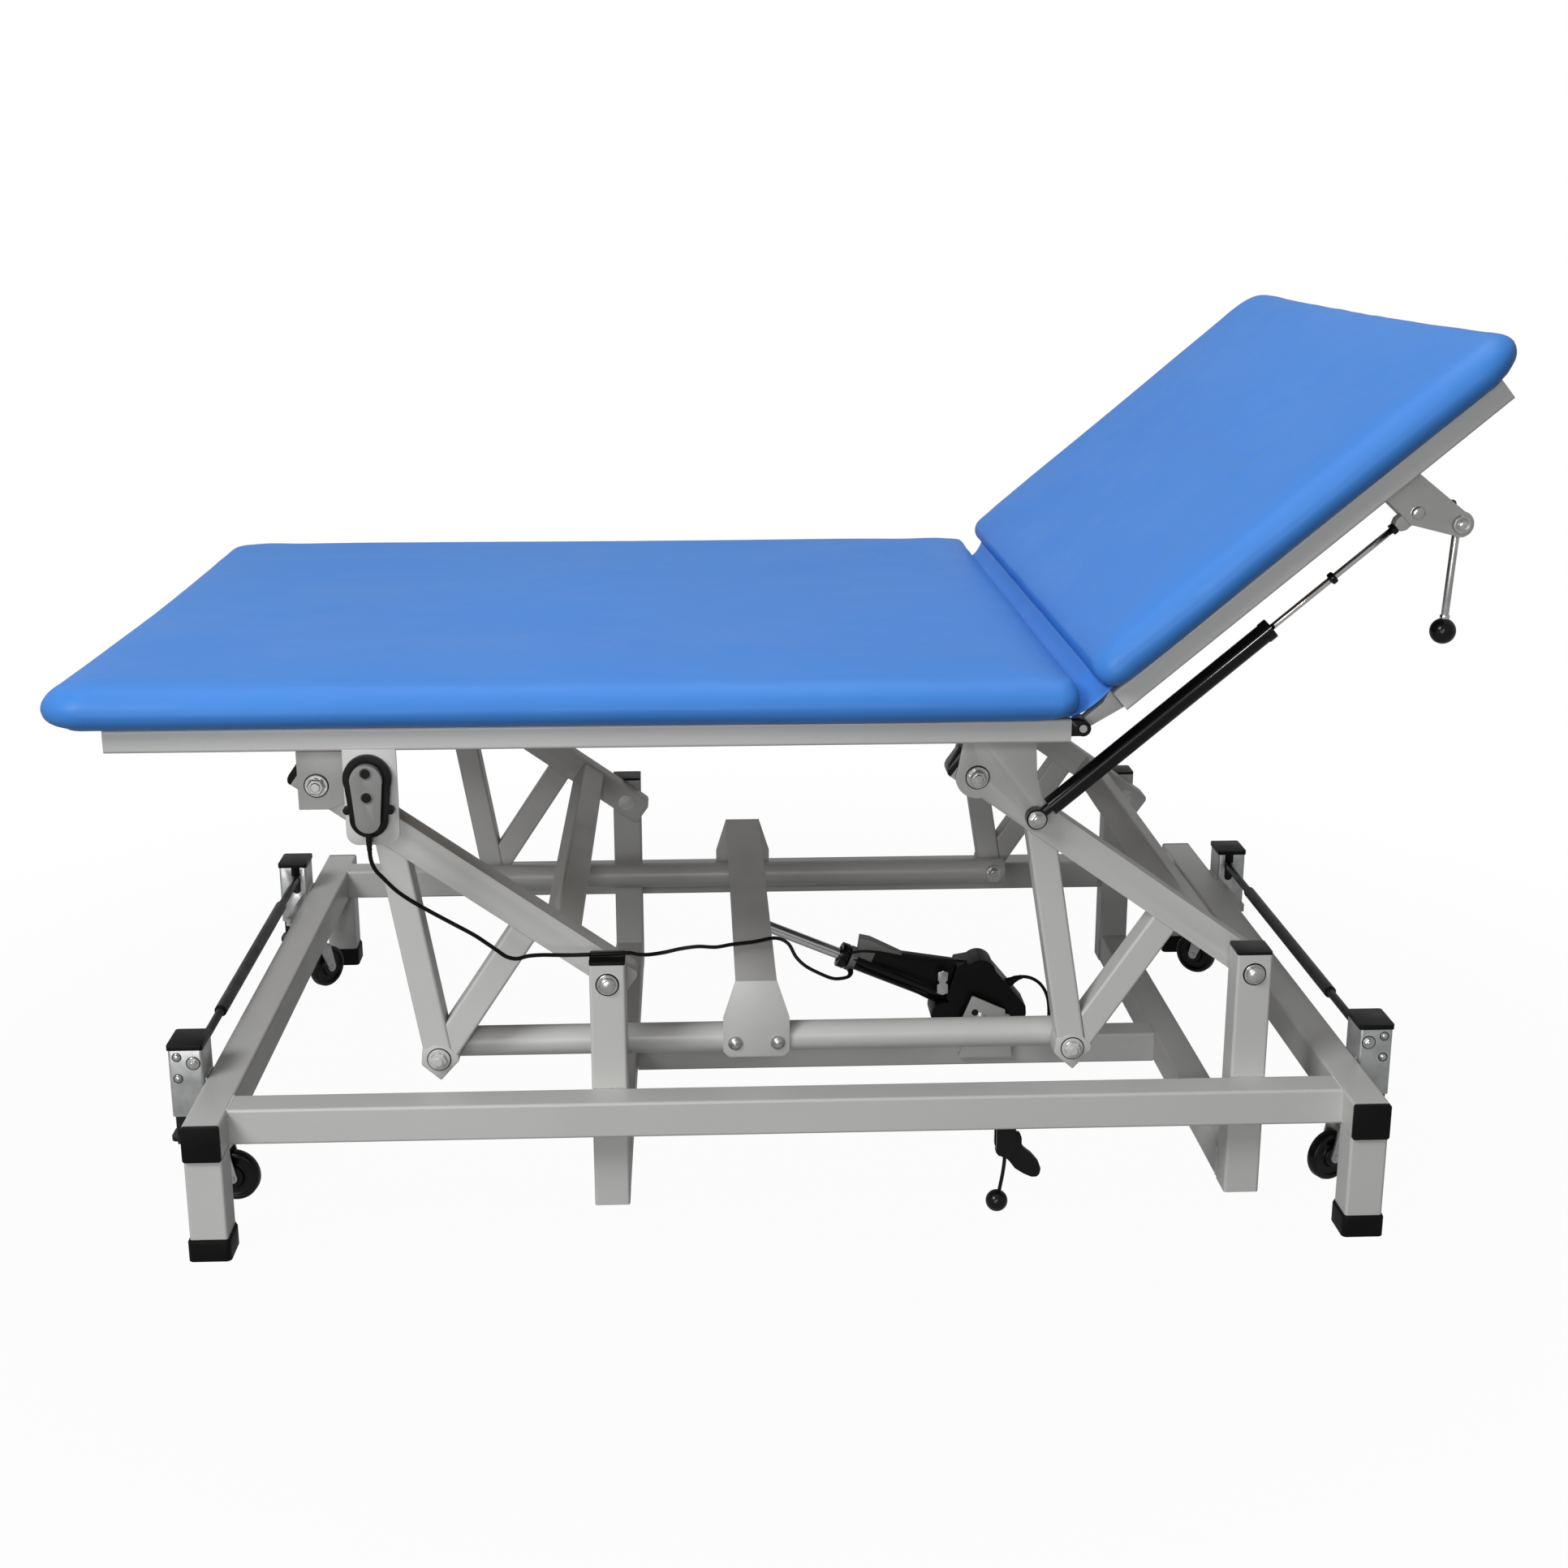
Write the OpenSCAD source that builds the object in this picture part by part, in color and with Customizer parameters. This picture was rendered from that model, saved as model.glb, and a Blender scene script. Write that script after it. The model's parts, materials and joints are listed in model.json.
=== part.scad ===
// Two-section treatment table with a parallel lift linkage

/* [Base frame] */
// Length of the base frame
base_l = 1584; // [1300:1:1800]
// Width of the base frame
base_w = 1176; // [1000:1:1400]
// Side of the square base tube
tube = 50; // [40:1:60]
// Wall of the square base tube
tube_wall = 2; // [1.5:0.1:4]
// Outer corner radius of the square tube
tube_r = 4; // [3:0.5:6]
// Height of the top of the base rails
rail_top = 193; // [160:1:240]
// Set-back of the side rails from the ends of the end rails
side_inset = 52; // [30:1:90]
// Thickness of the flange of a tube cap
cap_t = 5; // [3:0.5:8]
// Height of a rubber boot
boot_h = 31; // [20:1:50]
// Wall of a rubber boot
boot_wall = 3; // [2:0.5:5]
// Rubber under the end of a leg
boot_floor = 8; // [5:0.5:12]

/* [Lift posts] */
// Side of the square lift post
post = 48; // [40:1:60]
// Height of the top of the lift posts
post_top = 368; // [360:1:420]
// Height of the underside of the low cross tubes
sub_z = 20; // [12:1:30]
// Width of the low spine tube
spine_w = 50; // [40:1:70]

/* [Lift linkage] */
// Distance of the left lift pivot to the left of the middle
pivot_left = 242; // [180:1:300]
// Distance between the left and the right lift pivots
span = 868; // [760:1:900]
// Height of the lift pivots
pivot_z = 341; // [330:1:350]
// Length of a lift arm between its pivots
arm_l = 460; // [430:1:480]
// Angle of the lift arms above level
arm_angle = 35.5; // [33:0.1:38]
// Height of the lift arm section
arm_d = 42; // [34:1:48]
// Width of the lift arm section
arm_t = 40; // [30:1:46]
// Wall of the lift arm tube
arm_wall = 2.5; // [2:0.1:4]
// Arm left beyond its pivot
arm_over = 36; // [30:1:44]
// Distance from the lift pivot to the lower vertex
knee_r = 264; // [240:1:280]
// Angle of the lower vertex below level
knee_angle = 28; // [24:0.5:32]
// Width of a crank leg
leg_d = 38; // [30:1:42]
// Radius of a pivot bolt
pin_r = 8; // [6:0.5:10]
// Radius of a pivot sleeve
boss_r = 14; // [12:0.5:18]
// Side gap at each pivot
pivot_gap = 4; // [3:0.5:6]
// Diameter of the round link tube
link_d = 42; // [34:1:46]

/* [Bed frame] */
// Height of the top of the bed frame
bed_top = 715; // [690:1:740]
// Height of the flat bed tube
flat_h = 30; // [25:1:35]
// Width of the flat bed tube
flat_w = 50; // [40:1:60]
// Distance of the bed side tubes from the middle, to their outer face
bed_half = 563; // [540:1:575]
// Thickness of the pivot bracket plates
plate_t = 4; // [3:0.5:6]
// Drop of the left pivot brackets below the bed frame
hang = 104; // [95:1:125]

/* [Pads] */
// Width of the pads
pad_w = 1200; // [1160:1:1300]
// Length of the main pad
main_l = 1306; // [1250:1:1400]
// Length of the back pad
back_l = 653; // [620:1:720]
// Thickness of the pads
pad_t = 56; // [45:1:64]
// Thickness of the boards in the pads
board_t = 12; // [9:0.5:18]
// Length of the rounded nose at the hinge
nose_l = 34; // [20:1:36]
// Plan corner radius of the pads
pad_corner = 66; // [40:1:90]
// Pull-in of the pad's sides between the corners
pad_draw = 6; // [2:0.5:10]

/* [Back rest] */
// Distance of the hinge to the right of the middle
hinge_x = 367; // [360:1:375]
// Angle of the back section at rest
back_angle = 40; // [35:1:45]
// Radius of a hinge pin
hinge_pin_r = 5; // [4:0.5:6]
// Radius of a hinge barrel
barrel_r = 10; // [9:0.5:12]

/* [Gas spring] */
// Radius of the gas cylinder
gas_r = 13.2; // [13:0.1:14]
// Wall of the gas cylinder
gas_wall = 0.5; // [0.4:0.1:0.8]
// Radius of the gas spring's rod
gas_rod_r = 4.2; // [3.5:0.1:4.3]

/* [Actuator] */
// Radius of the actuator's outer tube
act_r = 15; // [14.8:0.1:18]
// Wall of the actuator's outer tube
act_wall = 2.5; // [2:0.1:2.7]
// Radius of the actuator's rod
act_rod_r = 9; // [8:0.1:9.2]

/* [Castors] */
// Width of a castor housing along the end rail
house_w = 60; // [50:1:70]
// Depth of a castor housing out from the end rail
house_d = 46; // [40:1:56]
// Height of a castor housing
house_h = 100; // [90:1:110]
// Radius of a castor wheel
wheel_r = 36; // [30:1:38]
// Width of a castor wheel
wheel_w = 22; // [18:1:26]
// Height of the castor wheels above the floor when they are up
wheel_clear = 4; // [2:0.5:8]
// Travel of the castor bars
bar_travel = 18; // [14:1:20]

/* [Fits] */
// Radial clearance of a pin in its bore
pin_fit = 0.05; // [0.03:0.01:0.09]
// Gap at a seat between two pieces
seat = 0.3; // [0.2:0.05:0.4]

/* [Hidden] */
$fn = 48;
over = 1;

// Base places
rail_z = rail_top - tube;
rail_mid = rail_top - tube / 2;
end_x = base_l / 2 - tube / 2;
leg_y = base_w / 2 - tube / 2;
side_y = base_w / 2 - side_inset - tube / 2;
side_in = side_y - tube / 2;
post_y = side_in - post / 2;
post_in = side_in - post;
post_r = 4;
post_wall = 2.5;
post_cap_h = 4;
plug_h = 16;
plug_fit = 0.2;
sub_h = 48;

// Linkage places
arm_out = post_in - pivot_gap;
arm_in = arm_out - arm_t;
arm_y = arm_out - arm_t / 2;
link_out = arm_in - pivot_gap;
link_y = link_out - link_d / 2;
link_wall = 2.5;
arm_dir = 180 - arm_angle;
knee_dir = 180 + knee_angle;
p_left = [-pivot_left, pivot_z];
p_right = p_left + [span, 0];
to_b = arm_l * [cos(arm_dir), sin(arm_dir)];
to_v = knee_r * [cos(knee_dir), sin(knee_dir)];
b_left = p_left + to_b;
b_right = p_right + to_b;
v_left = p_left + to_v;
v_right = p_right + to_v;
arm_end_r = 9;
vertex_r = 22;
leg_wall = 2.5;
leg_far_share = 0.77;
leg_near_share = 0.272;
cross_share = 0.17;
cross_w = 40;
cross_wall = 2.5;
washer_r = 13;
washer_t = 2;
head_r = 11;
head_h = 6;
link_over = 20;

// Bridge places
bridge_set = 667.5;
bridge_mid = p_right[0] - bridge_set;
bridge_w = 57;
bridge_foot_w = 92;
bridge_top = 308;
bridge_bend = 253;
bridge_t = 4;
bridge_low = 21;
bridge_bolt = 59;
bridge_bolt_r = 5;
rod_off = 0.5;
rod_x = bridge_mid - rod_off;
rod_z = 262;
ear_gap = 13;
ear_t = 5;
ear_r = 17;
rod_pin_r = 6;

// Bed places
bed_z = bed_top - flat_h;
flat_r = 4;
flat_wall = 2;
bed_in = bed_half - flat_w;
bed_start = -853;
hinge_gap = 15;
bed_end = hinge_x - hinge_gap;
cross_set = [33, 10];
bed_cross = [
  bed_start + flat_w / 2, b_left[0], (b_left[0] + b_right[0]) / 2 + cross_set[0], b_right[0] + cross_set[1]
];
end_cross = bed_end - flat_w / 2;
plate_out = arm_out + pivot_gap;
plate_in = arm_in - pivot_gap - plate_t;
bracket_w = 50;
left_w = 43;
left_low = 27;
left_r = 6;
tab_share = [[-0.38, 0.88], [-0.71, 0.37], [-0.61, 0.29], [-0.42, 0.12]];
gas_left = 38;
gas_drop = 160;
gas_out = 13;
hinge_drop = 12;
g_at = [hinge_x - gas_left, bed_top - gas_drop];
g_r = 20;
gas_y = plate_out + plate_t + gas_out;
h_at = [hinge_x, bed_top - hinge_drop];

// Pad places
pad_z = bed_top + seat;
pad_gap = 4;
main_x1 = hinge_x - pad_gap;
main_x0 = main_x1 - main_l;
back_start = 50;
back_n = 13;
back_end = back_start + back_l;
pocket_in = 42;
board_fit = 0.5;
edge_n = 13;
edge_t_share = [0, 0.09, 0.25, 0.42, 0.58, 0.72, 0.84, 0.92, 0.965, 0.99, 1];
edge_in_share = [0.16, 0.05, 0, 0.02, 0.08, 0.19, 0.36, 0.58, 1, 2.4, 5];
edge_soft = 52;

// Origin, in the middle of the box of the pads
lean_x = function (l, n) hinge_x + l * cos(back_angle) - n * sin(back_angle);
back_far = max([for (i = [0:10]) lean_x(
  back_end - edge_soft * edge_in_share[i], back_n + pad_t * edge_t_share[i])]);
org_x = (main_x0 + back_far) / 2;

// Sections
module rsec(w, h, r) {
  square([w - 2 * r, h], center=true);
  square([w, h - 2 * r], center=true);
  for (sx = [-1, 1], sy = [-1, 1])
    translate([sx * (w / 2 - r), sy * (h / 2 - r)]) circle(r=r);
}
module tsec(w, h, r, t) {
  difference() {
    rsec(w, h, r);
    rsec(w - 2 * t, h - 2 * t, r - t);
  }
}
module along_x(l) rotate([90, 0, 90]) linear_extrude(height=l) children();
module along_y(l) translate([0, l / 2, 0]) rotate([90, 0, 0]) linear_extrude(height=l) children();
module side_plate(t) rotate([90, 0, 0]) linear_extrude(height=t, center=true) children();
module peg(r, l) rotate([90, 0, 0]) cylinder(r=r, h=l, center=true);
module at(x, y, z) translate([x, y, z]) children();
module turned(a) rotate([0, -a, 0]) children();
module both() {
  children();
  mirror([0, 1, 0]) children();
}
module ends() {
  children();
  mirror([1, 0, 0]) children();
}
module corners() ends() both() children();
module bolt_head(r, h) intersection() {
  at(0, 0, h - r * 1.3) sphere(r=r * 1.3);
  cylinder(r=r, h=h);
}
// A head that looks to the front, with its washer against a front face
module front_head(r, h, wr, wt) {
  rotate([90, 0, 0]) cylinder(r=wr, h=wt);
  at(0, -wt, 0) rotate([90, 0, 0]) bolt_head(r, h);
}

// Base frame
module end_rails() color("silver") ends() at(end_x, 0, rail_mid) along_y(base_w - 2 * cap_t)
  tsec(tube, tube, tube_r, tube_wall);
module side_rails() color("silver") both() at(-end_x + tube / 2, -side_y, rail_mid)
  along_x(2 * end_x - tube) tsec(tube, tube, tube_r, tube_wall);
module legs() color("silver") corners() at(end_x, -leg_y + cap_t, boot_floor)
  linear_extrude(height=rail_z - boot_floor) tsec(tube, tube, tube_r, tube_wall);
module foot_caps() color("black") corners() at(end_x, -leg_y + cap_t, 0) difference() {
  union() {
    linear_extrude(height=boot_h - boot_wall) rsec(tube + 2 * boot_wall, tube + 2 * boot_wall, tube_r + boot_wall);
    linear_extrude(height=boot_h) rsec(tube + boot_wall, tube + boot_wall, tube_r + boot_wall / 2);
  }
  at(0, 0, boot_floor) linear_extrude(height=boot_h) rsec(tube, tube, tube_r);
}
module cap_flange(w, h, t, r, tw, ph) {
  linear_extrude(height=t) rsec(w, h, r);
  at(0, 0, -ph) linear_extrude(height=ph)
    tsec(w - 2 * tw - 2 * plug_fit, h - 2 * tw - 2 * plug_fit, max(r / 2, tw + seat), tw);
}
module tube_caps() color("black") {
  corners() at(end_x, -base_w / 2 + cap_t, rail_mid) rotate([90, 0, 0])
    cap_flange(tube, tube, cap_t, tube_r, tube_wall, plug_h);
  for (p = [p_left, p_right]) both() at(p[0], -post_y, post_top)
    cap_flange(post, post, post_cap_h, post_r, post_wall, plug_h);
  corners() at(house_x, -house_y, house_z + house_h) {
    linear_extrude(height=house_cap) rsec(house_d + house_lip, house_w + house_lip, house_r);
    at(0, 0, -house_lip) linear_extrude(height=house_lip) difference() {
      rsec(house_d + house_lip, house_w + house_lip, house_r);
      rsec(house_d, house_w, house_r);
    }
  }
  // The tongue over the slot, down to the foot bar
  corners() at(bar_x - slot_r, -house_y + house_w / 2, bar_z + slot_r)
    cube([2 * slot_r, house_lip / 2, house_z + house_h - bar_z - slot_r]);
  // The grommet where the motor's lead goes into the spine tube
  at(p_right[0] - lead_set, 0, sub_z + sub_h) difference() {
    union() {
      cylinder(r=grommet_r, h=grommet_h / 2);
      cylinder(r=grommet_r * 0.8, h=grommet_h);
    }
    at(0, 0, -over) cylinder(r=lead_r + seat, h=grommet_h + 2 * over);
  }
}
lead_set = 190;
grommet_r = 7;
grommet_h = 6;
module lift_posts() color("silver") for (p = [p_left, p_right]) both() at(p[0], -post_y, 0) difference() {
  at(0, 0, sub_z) linear_extrude(height=post_top - sub_z) tsec(post, post, post_r, post_wall);
  at(0, 0, pivot_z) peg(pin_r + pin_fit, post + 2 * over);
}
module base_subframe() color("silver") {
  both() at(act_m[0] - act_ear_l, -act_ear_in, sub_z + sub_h - act_step)
    cube([act_ear_l + act_ear_far, act_ear_in - spine_w / 2, act_ear_t]);
  for (p = [p_left, p_right]) at(p[0], 0, sub_z + sub_h / 2) along_y(2 * (post_in - seat))
    tsec(post, sub_h, post_r, post_wall);
  at(p_left[0] + post / 2 + seat, 0, sub_z + sub_h / 2) along_x(span - post - 2 * seat)
    tsec(spine_w, sub_h, post_r, post_wall);
}

// Actuator places
act_set = 304;
act_up = 40;
act_m = [p_right[0] - act_set, sub_z + sub_h + act_up];
act_r_at = [rod_x, rod_z];
act_v = act_r_at - act_m;
act_len = norm(act_v);
act_dir = atan2(act_v[1], act_v[0]);
act_eye_r = 14;
act_ear_in = 34;
act_ear_t = 5;
act_ear_l = 34;
act_ear_far = 50;
module actuator_bracket() color("gray") both() at(act_m[0], -act_ear_in - act_ear_t / 2, 0) difference() {
  side_plate(act_ear_t) polygon([
    [-act_ear_l, sub_z + sub_h - act_step], [act_ear_far, sub_z + sub_h - act_step], [act_ear_far * 0.92, act_m[1]],
    [0, act_m[1] + act_eye_r * 1.25], [-act_eye_r * 1.1, act_m[1] + act_eye_r * 0.6]
  ]);
  at(0, 0, act_m[1]) peg(pin_r + pin_fit, act_ear_t + 2 * over);
}
act_step = 30;

// Castor places
house_r = 4;
house_wall = 2.5;
house_lip = 3;
house_cap = 4;
house_gap = 2;
house_set = 158;
house_x = base_l / 2 + house_gap + house_d / 2;
house_y = leg_y - house_set;
house_z = 140;
bar_r = 6;
bar_z = 215;
bar_in = 5;
bar_gap = 1;
bar_x = house_x - bar_in;
slot_r = bar_r + bar_gap;
slide_gap = 0.5;
slide_high = 95;
stem_r = 6;
axle_r = 4;
trail = 22;
fork_t = 3;
swivel_in = 2;
swing = norm([trail + wheel_r, wheel_w / 2 + 2 * fork_t]) + pivot_gap;
swivel_x = max(base_l / 2 - swivel_in, p_right[0] + post / 2 + swing);
swivel_y = house_y;
module castor_housings() color("lightgray") corners() {
  at(house_x, -house_y, 0) difference() {
    at(0, 0, house_z) linear_extrude(height=house_h) tsec(house_d, house_w, house_r, house_wall);
    at(-house_x + bar_x, house_w / 2, 0) {
      for (z = [bar_z, bar_z - bar_travel]) at(0, 0, z) peg(slot_r, 4 * house_wall);
      at(0, 0, bar_z - bar_travel / 2) cube([2 * slot_r, 4 * house_wall, bar_travel], center=true);
    }
  }
  at(base_l / 2, -house_y - house_w * 0.35, house_z + house_h * 0.2)
    cube([house_x - house_d / 2 - base_l / 2, house_w * 0.7, rail_top - house_z - house_h * 0.2]);
}
small_bolt_r = 5;
big_bolt_r = 7;
bolt_h = 4;
module housing_bolts() color("gray") corners() {
  for (z = [house_z + house_h * 0.56, house_z + house_h * 0.88])
    at(house_x, -house_y - house_w / 2, z) rotate([90, 0, 0]) bolt_head(small_bolt_r, bolt_h);
  at(house_x - house_d / 2 + big_bolt_r, -house_y - house_w / 2, house_z + house_h * 0.78)
    rotate([90, 0, 0]) bolt_head(big_bolt_r, bolt_h);
}
module base_pins() color("gray") {
  for (p = [p_left, p_right]) both() {
    at(p[0], -(side_in + arm_in - seat) / 2, p[1]) peg(pin_r, side_in - arm_in + seat);
    at(p[0], -arm_in + seat + washer_t / 2, p[1]) peg(washer_r, washer_t);
    at(p[0], -side_in, p[1]) front_head(head_r, head_h, washer_r, washer_t);
    at(p[0], -(post_in + arm_out) / 2, p[1]) difference() {
      peg(washer_r, pivot_gap - 2 * seat);
      peg(pin_r + pin_fit, pivot_gap);
    }
  }
  at(act_m[0], 0, act_m[1]) peg(pin_r, 2 * (act_ear_in + act_ear_t));
  both() at(act_m[0], -act_ear_in - act_ear_t, act_m[1]) rotate([90, 0, 0]) bolt_head(head_r, head_h);
}

// Pedal places
pedal_x = 291;
pedal_drop = 33;
pedal_z = rail_z - pedal_drop;
pedal_pin_r = 5;
pedal_t = 6;
pedal_y = side_y;
pedal_lift = 32;
module pedal_bracket() color("dimgray") at(pedal_x, -pedal_y, 0) {
  both() at(0, -pedal_t - seat - pedal_t / 2, 0) side_plate(pedal_t) {
    translate([0, pedal_z]) circle(r=2.6 * pedal_pin_r);
    polygon([
      [-2.6 * pedal_pin_r, rail_z], [2.6 * pedal_pin_r, rail_z],
      [2.6 * pedal_pin_r, pedal_z], [-2.6 * pedal_pin_r, pedal_z]
    ]);
  }
  at(0, 0, pedal_z) peg(pedal_pin_r, 4 * pedal_t);
}
module foot_lever() color("black") at(pedal_x, -pedal_y, pedal_z) {
  difference() {
    union() {
      side_plate(2 * pedal_t) {
        circle(r=2.4 * pedal_pin_r);
        polygon([[0, 2.4 * pedal_pin_r], [-2.4 * pedal_pin_r, 0], [pedal_lift, -1.9 * pedal_lift], [1.5 * pedal_lift, -1.2 * pedal_lift]]);
        translate([1.3 * pedal_lift, -1.5 * pedal_lift]) circle(r=0.45 * pedal_lift);
      }
    }
    peg(pedal_pin_r + pin_fit, 4 * pedal_t);
  }
  turned(-pedal_lean) at(2 * pedal_pin_r, 0, 0) {
    rotate([0, 90, 0]) cylinder(r=pedal_pin_r * 0.7, h=pedal_rod);
    at(pedal_rod, 0, 0) sphere(r=pedal_ball);
  }
}
pedal_lean = 96;
pedal_rod = 72;
pedal_ball = 15;

// Crank frames, drawn from their lift pivot
leg_far = leg_far_share * arm_l * [cos(arm_dir), sin(arm_dir)];
leg_near = leg_near_share * arm_l * [cos(arm_dir), sin(arm_dir)];
cross_at = cross_share * arm_l;
module crank_arms() {
  both() at(0, -arm_y, 0) turned(arm_dir) difference() {
    union() {
      difference() {
        at(arm_l / 2, 0, 0) side_plate(arm_t) rsec(arm_l + 2 * arm_over, arm_d, arm_end_r);
        at(arm_l / 2, 0, 0) side_plate(arm_t - 2 * arm_wall)
          rsec(arm_l + 2 * arm_over - 4 * arm_wall, arm_d - 2 * arm_wall, arm_end_r - arm_wall);
      }
      for (s = [0, arm_l]) at(s, 0, 0) peg(boss_r, arm_t);
    }
    for (s = [0, arm_l]) at(s, 0, 0) peg(pin_r + pin_fit, arm_t + 2 * over);
  }
  turned(arm_dir) at(cross_at, 0, 0) along_y(2 * (arm_in - seat)) tsec(cross_w, cross_w, post_r, cross_wall);
}
module leg_bar(q, w, t, grow) {
  v = q - to_v;
  at(to_v[0], 0, to_v[1]) turned(atan2(v[1], v[0])) along_x(norm(v)) square([t, w + 2 * grow], center=true);
}
module leg_tube(q) {
  v = q - to_v;
  at(to_v[0], 0, to_v[1]) turned(atan2(v[1], v[0])) along_x(norm(v)) tsec(arm_t, leg_d, post_r, leg_wall);
}
module arm_block() turned(arm_dir) at(arm_l / 2, 0, 0)
  cube([arm_l + 2 * arm_over, arm_t + 2 * over, arm_d + 2 * seat], center=true);
module crank_legs() both() at(0, -arm_y, 0) {
  difference() {
    union() {
      leg_tube(leg_far);
      at(to_v[0], 0, to_v[1]) peg(vertex_r, arm_t);
    }
    arm_block();
    at(to_v[0], 0, to_v[1]) peg(pin_r + pin_fit, arm_t + 2 * over);
  }
  difference() {
    leg_tube(leg_near);
    arm_block();
    leg_bar(leg_far, leg_d, arm_t + 2 * over, seat);
    at(to_v[0], 0, to_v[1]) peg(vertex_r + seat, arm_t + 2 * over);
  }
}
module crank_arms_left() color("silver") at(p_left[0], 0, p_left[1]) crank_arms();
module crank_arms_right() color("silver") at(p_right[0], 0, p_right[1]) crank_arms();
module crank_legs_left() color("silver") at(p_left[0], 0, p_left[1]) crank_legs();
module crank_legs_right() color("silver") at(p_right[0], 0, p_right[1]) crank_legs();

// Link frame
module link_tubes() color("silver") both() difference() {
  union() {
    at(v_left[0] - link_over, -link_y, v_left[1]) along_x(span + 2 * link_over) difference() {
      circle(r=link_d / 2);
      circle(r=link_d / 2 - link_wall);
    }
    for (v = [v_left, v_right]) at(v[0], -link_y, v[1]) peg(boss_r, link_d);
  }
  for (v = [v_left, v_right]) at(v[0], -link_y, v[1]) peg(pin_r + pin_fit, link_d + 2 * over);
}
module link_fasteners() color("gray") both() {
  for (v = [v_left, v_right]) {
    at(v[0], -(arm_out + seat + link_out - link_d) / 2, v[1]) peg(pin_r, arm_out + seat - link_out + link_d);
    at(v[0], -arm_out - seat, v[1]) front_head(head_r, head_h, washer_r, washer_t);
    at(v[0], -link_out + link_d, v[1]) mirror([0, 1, 0]) front_head(head_r, head_h, washer_r, washer_t);
    at(v[0], -(arm_in + link_out) / 2, v[1]) difference() {
      peg(washer_r, pivot_gap - 2 * seat);
      peg(pin_r + pin_fit, pivot_gap);
    }
  }
  for (s = [-1, 1]) at(bridge_mid + s * bridge_bolt / 2, -link_out - seat - bridge_t, v_left[1])
    front_head(1.4 * bridge_bolt_r, bridge_bolt_r, 2 * bridge_bolt_r, washer_t);
}
module bridge() color("silver") {
  at(bridge_mid - bridge_w / 2, -link_out - seat - bridge_t, bridge_top - bridge_t)
    cube([bridge_w, 2 * (link_out + seat + bridge_t), bridge_t]);
  both() at(bridge_mid, -link_out - seat - bridge_t / 2, 0) side_plate(bridge_t) polygon([
    [-bridge_w / 2, bridge_top], [-bridge_foot_w / 2, bridge_bend],
    [-bridge_foot_w / 2, v_left[1] - bridge_low + 2 * bridge_t], [2 * bridge_t - bridge_foot_w / 2, v_left[1] - bridge_low],
    [bridge_foot_w / 2 - 2 * bridge_t, v_left[1] - bridge_low], [bridge_foot_w / 2, v_left[1] - bridge_low + 2 * bridge_t],
    [bridge_foot_w / 2, bridge_bend], [bridge_w / 2, bridge_top]
  ]);
  both() at(rod_x, -ear_gap - ear_t / 2, 0) difference() {
    side_plate(ear_t) {
      translate([0, rod_z]) circle(r=ear_r);
      polygon([[-ear_r * 1.4, bridge_top - bridge_t], [ear_r * 1.4, bridge_top - bridge_t], [ear_r, rod_z], [-ear_r, rod_z]]);
    }
    at(0, 0, rod_z) peg(rod_pin_r + pin_fit, ear_t + 2 * over);
  }
  at(rod_x, 0, rod_z) peg(rod_pin_r, 2 * (ear_gap + ear_t));
  both() at(rod_x, -ear_gap - ear_t, rod_z) rotate([90, 0, 0]) bolt_head(1.5 * rod_pin_r, rod_pin_r / 2);
}

// Bed frame
module bed_tube_x(y, x0, x1) at(x0, y, bed_z + flat_h / 2) along_x(x1 - x0) tsec(flat_w, flat_h, flat_r, flat_wall);
module bed_tube_y(x, y) at(x, 0, bed_z + flat_h / 2) along_y(2 * y) tsec(flat_w, flat_h, flat_r, flat_wall);
module bed_frame() color("silver") {
  both() bed_tube_x(-bed_half + flat_w / 2, bed_start, bed_end);
  for (x = [for (c = bed_cross) c, end_cross]) bed_tube_y(x, bed_in - seat);
}
// A plate with a hooked tab to the left and one rounded corner below on the right
left_end = min(bed_z - hang, b_left[1] - left_low);
left_x = left_w * tab_share[0][0];
module left_outline() {
  translate([b_left[0] + left_x + left_w - left_r, left_end + left_r]) circle(r=left_r);
  polygon(concat(
    [for (t = tab_share) b_left + left_w * t],
    [
      [b_left[0] + left_x, left_end + left_r / 2], [b_left[0] + left_x + left_r / 2, left_end],
      [b_left[0] + left_x + left_w - left_r, left_end], [b_left[0] + left_x + left_w, left_end + left_r],
      [b_left[0] + left_x + left_w, bed_z], [b_left[0] + left_x, bed_z]
    ]
  ));
}
module pivot_bracket_left() color("silver") both() for (y = [plate_out, plate_in]) at(0, -y - plate_t / 2, 0) difference() {
  side_plate(plate_t) left_outline();
  at(b_left[0], 0, b_left[1]) peg(pin_r + pin_fit, plate_t + 2 * over);
}
right_r = 29;
module right_outline() {
  translate(b_right) circle(r=right_r);
  translate([b_right[0] - right_r / 2, b_right[1]]) square([bracket_w * 0.9 + right_r, bed_z - b_right[1]]);
  polygon([
    [b_right[0] - right_r / 2, bed_z], [b_right[0] - right_r, b_right[1]],
    b_right + right_r * [-0.5, -0.866], b_right + right_r * [0.3, -0.954],
    g_at + g_r * [-0.75, -0.66], g_at + g_r * [0.6, 0.8], [g_at[0] + g_r * 0.1, b_right[1]], [end_cross, bed_z]
  ]);
  translate(g_at) circle(r=g_r);
}
module pivot_bracket_right() color("silver") both() for (y = [plate_out, plate_in]) at(0, -y - plate_t / 2, 0) difference() {
  side_plate(plate_t) right_outline();
  at(b_right[0], 0, b_right[1]) peg(pin_r + pin_fit, plate_t + 2 * over);
  at(g_at[0], 0, g_at[1]) peg(gas_pin_r + pin_fit, plate_t + 2 * over);
}
gas_pin_r = 6;
gas_eye_w = 16;
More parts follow.
